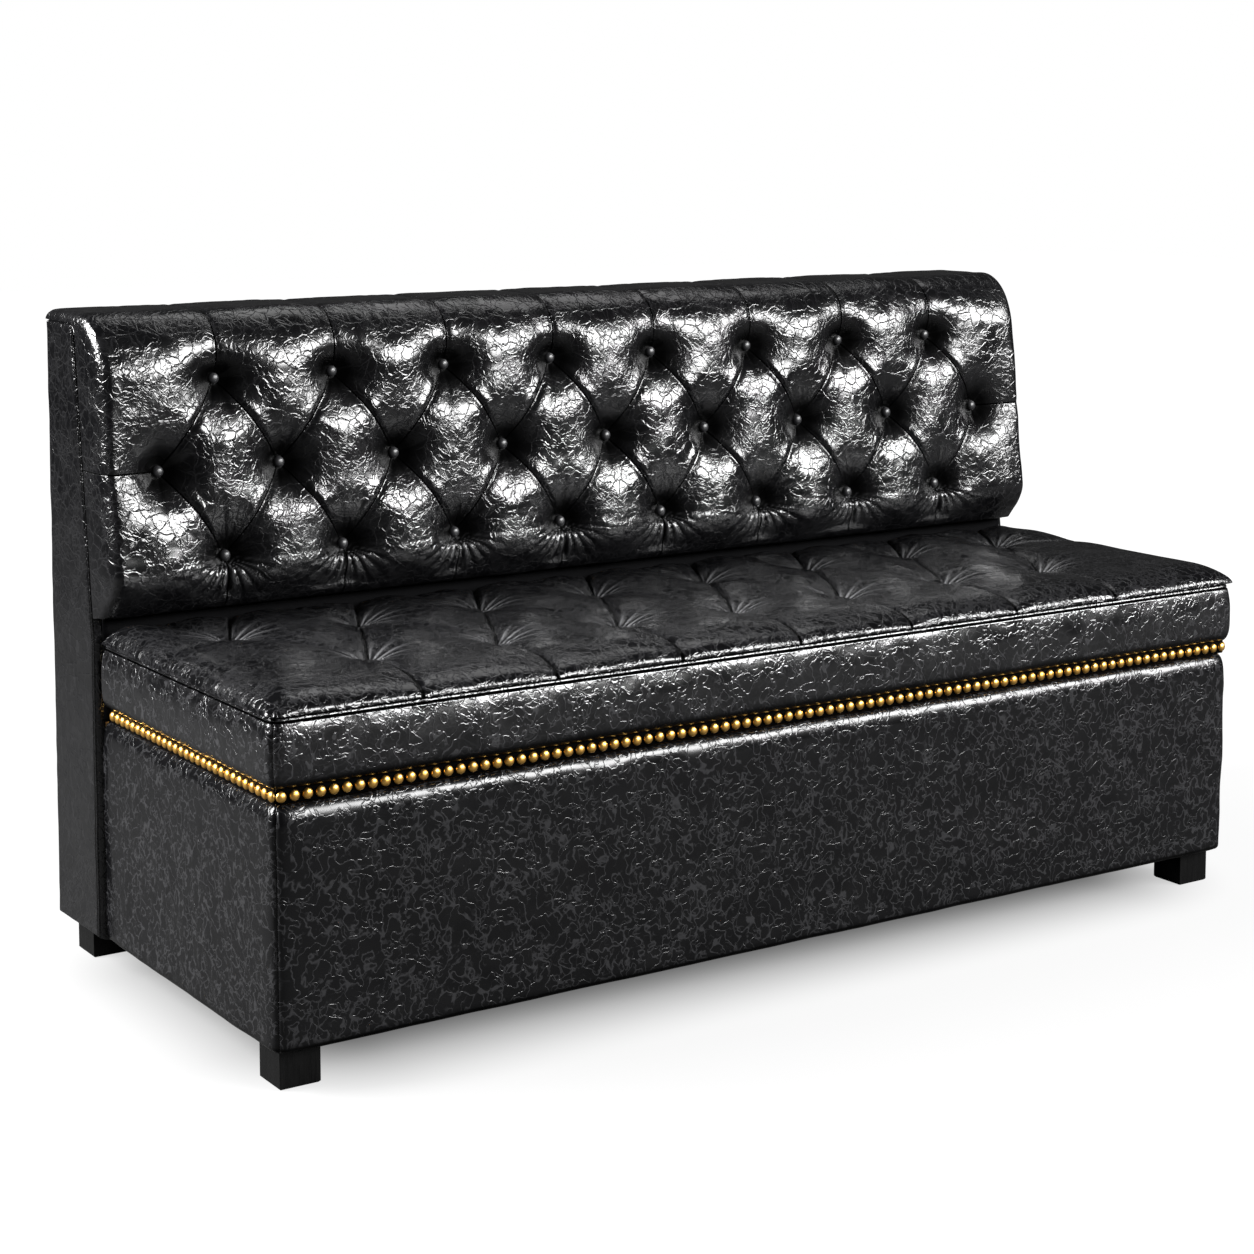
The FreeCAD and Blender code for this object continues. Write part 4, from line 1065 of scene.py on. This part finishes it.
def seat_folds(rear, front):
    """Starts and ends of fold lines: slits slanting back through the tufts, and soft folds across them."""
    front_slant, end_slant = 20 * MM, 78 * MM
    ends = rear[[0, -1]]
    slant = (rear[1, 0] - rear[0, 0]) / 2 / (rear[0, 1] - front[0, 1]) * (seat_rear - rear[0, 1])
    behind = np.full(len(rear), seat_rear)
    slits = [
        (front, rear[1:]),
        (rear, np.stack([rear[:, 0] + slant, behind], -1)),
        (front, np.stack([front[:, 0] - front_slant, np.full(len(front), seat_front)], -1)),
    ]
    soft = [
        (front, rear[:-1]),
        (rear, np.stack([rear[:, 0] - slant, behind], -1)),
        (ends, np.stack([np.sign(ends[:, 0]) * half_seat, ends[:, 1] - end_slant], -1)),
    ]
    return [[np.concatenate(group) for group in zip(*pairs)] for pairs in (slits, soft)]


def sideways(turn):
    """Lead of the gathers of the seat: strongest to the left and right of a tuft."""
    return np.abs(np.sin(turn))


def round_corners(x, y, corner):
    """Squares of the grid at the front corners turned into rings about each corner's centre."""
    dx = np.clip(np.abs(x) - (half_seat - corner), 0, None)
    dy = np.clip(seat_front + corner - y, 0, None)
    ring = np.maximum(dx, dy)
    scale = np.where(np.minimum(dx, dy) > 0, ring / np.maximum(np.hypot(dx, dy), TINY), 1.0)
    return np.sign(x) * (np.abs(x) - dx * (1 - scale)), y + dy * (1 - scale)


class SOFA_OT_seat(Operator):
    """Tufted top of the seat.

    A grid across by front to back. Its height rises from the seam as a quarter round at every edge, and sinks
    by dimples, folds and gathers, with a little unevenness. A flat underside closes it.
    """
    bl_idname = "sofa.seat"
    bl_label = "Tufted seat"

    def execute(self, context):
        sizes = context.scene.sofa_seat
        rear, front = tuft_rows(sizes)
        places = np.concatenate([rear, front])
        across = eased(-half_seat, half_seat, sizes.edge, 14, 545)
        back = eased(seat_front, seat_rear, sizes.edge, 14, 150)
        x, y = across[:, None], back[None, :]
        slits, soft = seat_folds(rear, front)
        share = dimple_share(x, y, places, sizes.tuft_reach, 1.3)
        folds, (offset, near) = fold_depth(x, y, *slits, sizes)
        folds = np.maximum(folds, SOFT_SHARE * fold_depth(x, y, *soft, sizes)[0])
        depth = folds * (1 - share) + sizes.tuft * share
        depth += puckers(x, y, places, sizes.pucker, sizes.pucker_reach, sizes.gathers, sideways)
        depth -= 1.8 * MM * soft_noise(x, y, 60 * MM, 61)
        edges = rise(half_seat - np.abs(x), sizes.edge) * rise(y - seat_front, 1.3 * sizes.edge)
        edges = edges * rise(seat_rear - y, sizes.rear_edge)
        z = seam + (seat_top - seam - depth) * edges
        wide, deep = round_corners(x, y, sizes.corner)
        points = np.stack([wide, deep, z], -1)
        # Painted highlight on the crests of the gathers round the tufts
        gather_highlight = GATHER_HIGHLIGHT * gather_crests(x, y, places, sizes.highlight_reach, sizes.gathers, sideways)
        dress("seat_tufted_top", points, closed_sheet(points), finish("creased_faux_leather"), "seat",
              ["seat_tufted_cover"],
              marks=(offset / SLIT_WIDTH, near, 0 * gather_highlight, gather_highlight))
        return {"FINISHED"}


class SOFA_OT_seat_rear(Operator):
    """Plain rear cover of the seat: a thin padded strip with rounded edges."""
    bl_idname = "sofa.seat_rear"
    bl_label = "Seat rear"

    def execute(self, context):
        x, z, raised, _ = padded_panel(strip_foot, seam, upright(-half_rear_strip), upright(half_rear_strip),
                                       seat_rear - seat_frame_rear, rounding=4 * MM, seed=71)
        points = np.stack([x, seat_frame_rear + raised, z], -1)
        dress("seat_rear_strip", points, closed_sheet(points), finish("crackle_faux_leather"), "seat",
              ["seat_border_rear"])
        return {"FINISHED"}


class SOFA_OT_nails(Operator):
    """Dome nails along the recessed strip: each is a low lip and a quarter ellipse turned about its axis."""
    bl_idname = "sofa.nails"
    bl_label = "Nails"

    def execute(self, context):
        sizes = context.scene.sofa_seat
        middle = (strip_foot + border_foot) / 2
        inset = sizes.nail / 2 + 1 * MM
        span = half_strip - inset
        x = np.linspace(-span, span, round(2 * span / sizes.nail_pitch) + 1)
        front = np.stack([x, np.full_like(x, strip_front), np.full_like(x, middle)], -1)
        first, last = strip_front + inset, seat_frame_rear - inset
        y = np.linspace(first, last, round((last - first) / sizes.nail_pitch) + 1)
        left = np.stack([np.full_like(y, -half_strip), y, np.full_like(y, middle)], -1)
        right = left * [-1, 1, 1]

        lip = 0.5 * MM
        climb = quarter(5)
        radius = np.concatenate([[0.0, 1.0], np.cos(climb)]) * sizes.nail / 2
        out = np.concatenate([[0.0, 0.0], lip + (sizes.nail_rise - lip) * np.sin(climb)])
        turn = np.linspace(0, 2 * math.pi, 12, endpoint=False)
        ring = np.stack(np.broadcast_arrays(radius[:, None] * np.cos(turn), radius[:, None] * np.sin(turn),
                                            out[:, None]), -1)
        rows = []
        for places, along, outward in ((front, (1, 0, 0), (0, -1, 0)), (left, (0, 1, 0), (-1, 0, 0)),
                                       (right, (0, -1, 0), (1, 0, 0))):
            turned = ring @ np.array([along, (0, 0, 1), outward], float)
            rows.append(places[:, None, None, :] + turned[None])
        points = np.concatenate(rows)
        dress("seat_dome_nails", points, copies(points, len(radius), len(turn)), finish("antique_brass"),
              "seat", ["trim_nails"])
        return {"FINISHED"}


# Stage

def area_light(name, place, target, wide, tall, power):
    """Rectangular softbox that faces a target."""
    lamp = bpy.data.lights.new(name, "AREA")
    lamp.shape = "RECTANGLE"
    lamp.size, lamp.size_y, lamp.energy = wide, tall, power
    holder = bpy.data.objects.new(name, lamp)
    bpy.context.scene.collection.objects.link(holder)
    holder.location = place
    direction = np.array(target, float) - np.array(place, float)
    flat = math.hypot(direction[0], direction[1])
    holder.rotation_euler = (math.atan2(flat, -direction[2]), 0, math.atan2(-direction[0], direction[1]))


def studio_paper(colours):
    """White paper that shines to the camera alone, so that the glossy leather mirrors a dark studio.

    The eye sees white with a painted soft shadow under the base, which ends a little outside it.
    """
    material, tree, shader, place = start_material("studio_paper")
    inset = 0.17
    beyond = add(tree, "ShaderNodeVectorMath", (place,), operation="ABSOLUTE")
    beyond = add(tree, "ShaderNodeVectorMath", (beyond, (half_base - inset, slab_rear - inset, 0)),
                 operation="SUBTRACT")
    beyond = add(tree, "ShaderNodeVectorMath", (beyond, (0, 0, 0)), operation="MAXIMUM")
    beyond = add(tree, "ShaderNodeVectorMath", (beyond,), out="Value", operation="LENGTH")
    # Painted contact shadow: the glow is dimmed under the base and brightens to full a little outside it
    painted_shadow = add(tree, "ShaderNodeMapRange", (beyond, 0.0, 1.5 * inset, 0.12, 1.0),
                interpolation_type="SMOOTHSTEP")
    away = add(tree, "ShaderNodeVectorMath", (place,), out="Value", operation="LENGTH")
    seen = add(tree, "ShaderNodeLightPath", out="Is Camera Ray")
    glow = add(tree, "ShaderNodeMapRange", (away, 0.9, 2.4, 0.87, 1.02))
    glow = add(tree, "ShaderNodeMath", (glow, painted_shadow), operation="MULTIPLY")
    glow = add(tree, "ShaderNodeMath", (glow, seen), operation="MULTIPLY")
    connect(tree, shader, Emission_Strength=glow)
    shader.inputs["Emission Color"].default_value = (1, 1, 1, 1)
    shader.inputs["Base Color"].default_value = colours.floor
    shader.inputs["Roughness"].default_value = 0.9
    return material


def studio_air():
    """World that is white to the camera and gives the sofa a faint light from all round."""
    world = bpy.data.worlds.new("studio_air")
    world.use_nodes = True
    tree = world.node_tree
    background = tree.nodes["Background"]
    seen = add(tree, "ShaderNodeLightPath", out="Is Camera Ray")
    strength = add(tree, "ShaderNodeMapRange", (seen, 0.0, 1.0, 0.04, 1.0))
    connect(tree, background, Strength=strength)
    background.inputs["Color"].default_value = (1, 1, 1, 1)
    return world


class SOFA_OT_stage(Operator):
    """White studio floor, three softboxes and the camera."""
    bl_idname = "sofa.stage"
    bl_label = "Stage"

    def execute(self, context):
        scene = context.scene
        sizes = scene.sofa_stage
        reach = 12.0
        x = y = np.linspace(-reach, reach, 3)
        points = np.stack(np.broadcast_arrays(x[:, None], y[None], 0.0), -1)
        mesh = bpy.data.meshes.new("studio_floor")
        mesh.from_pydata(points.reshape(-1, 3).tolist(), [], grid_faces(*points.shape[:2]).tolist())
        mesh.materials.append(studio_paper(scene.sofa_colours))
        floor = bpy.data.objects.new("studio_floor", mesh)
        scene.collection.objects.link(floor)

        area_light("key_softbox", place=(2.75, -3.9, 2.45), target=(0.0, 0.1, 0.6),
                   wide=3.7, tall=1.45, power=690)
        area_light("edge_softbox", place=(1.0, 0.9, 2.9), target=(0.1, 0.0, 0.5),
                   wide=1.9, tall=1.0, power=12)
        area_light("left_softbox", place=(-3.0, 1.0, 2.1), target=(-0.8, 0.2, 0.2),
                   wide=1.6, tall=1.6, power=465)
        scene.world = studio_air()
        scene.view_settings.view_transform = "Standard"

        lens = bpy.data.cameras.new("camera")
        lens.lens, lens.sensor_width, lens.shift_y = sizes.lens, 36.0, sizes.shift
        camera = bpy.data.objects.new("camera", lens)
        scene.collection.objects.link(camera)
        camera.location = sizes.camera
        camera.rotation_euler = (math.pi / 2 - sizes.pitch, 0, -sizes.yaw)
        scene.camera = camera
        return {"FINISHED"}


GROUPS = {
    "sofa_back": BackSizes,
    "sofa_seat": SeatSizes,
    "sofa_colours": FinishColours,
    "sofa_stage": StageSizes,
}

# In the order in which they run
PIECES = (SOFA_OT_finishes, SOFA_OT_back, SOFA_OT_buttons, SOFA_OT_back_panels, SOFA_OT_lining, SOFA_OT_seat,
          SOFA_OT_seat_border, SOFA_OT_seat_rear, SOFA_OT_nail_strip, SOFA_OT_nails, SOFA_OT_base_cover,
          SOFA_OT_stage)


class SOFA_PT_panel(Panel):
    """Lists the sizes, the colours and the steps that dress the sofa."""
    bl_idname = "SOFA_PT_panel"
    bl_label = "Tufted bench sofa"
    bl_space_type = "VIEW_3D"
    bl_region_type = "UI"
    bl_category = "Sofa"

    def draw(self, context):
        for name in GROUPS:
            group = getattr(context.scene, name)
            column = self.layout.column()
            for key in group.__annotations__:
                column.prop(group, key)
        for step in PIECES:
            self.layout.operator(step.bl_idname)


def register():
    """Adds the groups, the operators and the panel to Blender."""
    for kind in (*GROUPS.values(), *PIECES, SOFA_PT_panel):
        bpy.utils.register_class(kind)
    for name, kind in GROUPS.items():
        setattr(bpy.types.Scene, name, PointerProperty(type=kind))


def unregister():
    """Takes them out again."""
    for name in GROUPS:
        delattr(bpy.types.Scene, name)
    for kind in reversed((*GROUPS.values(), *PIECES, SOFA_PT_panel)):
        bpy.utils.unregister_class(kind)


def main():
    """Runs every step."""
    register()
    for step in PIECES:
        group, name = step.bl_idname.split(".")
        getattr(getattr(bpy.ops, group), name)()


if __name__ == "__main__":
    main()
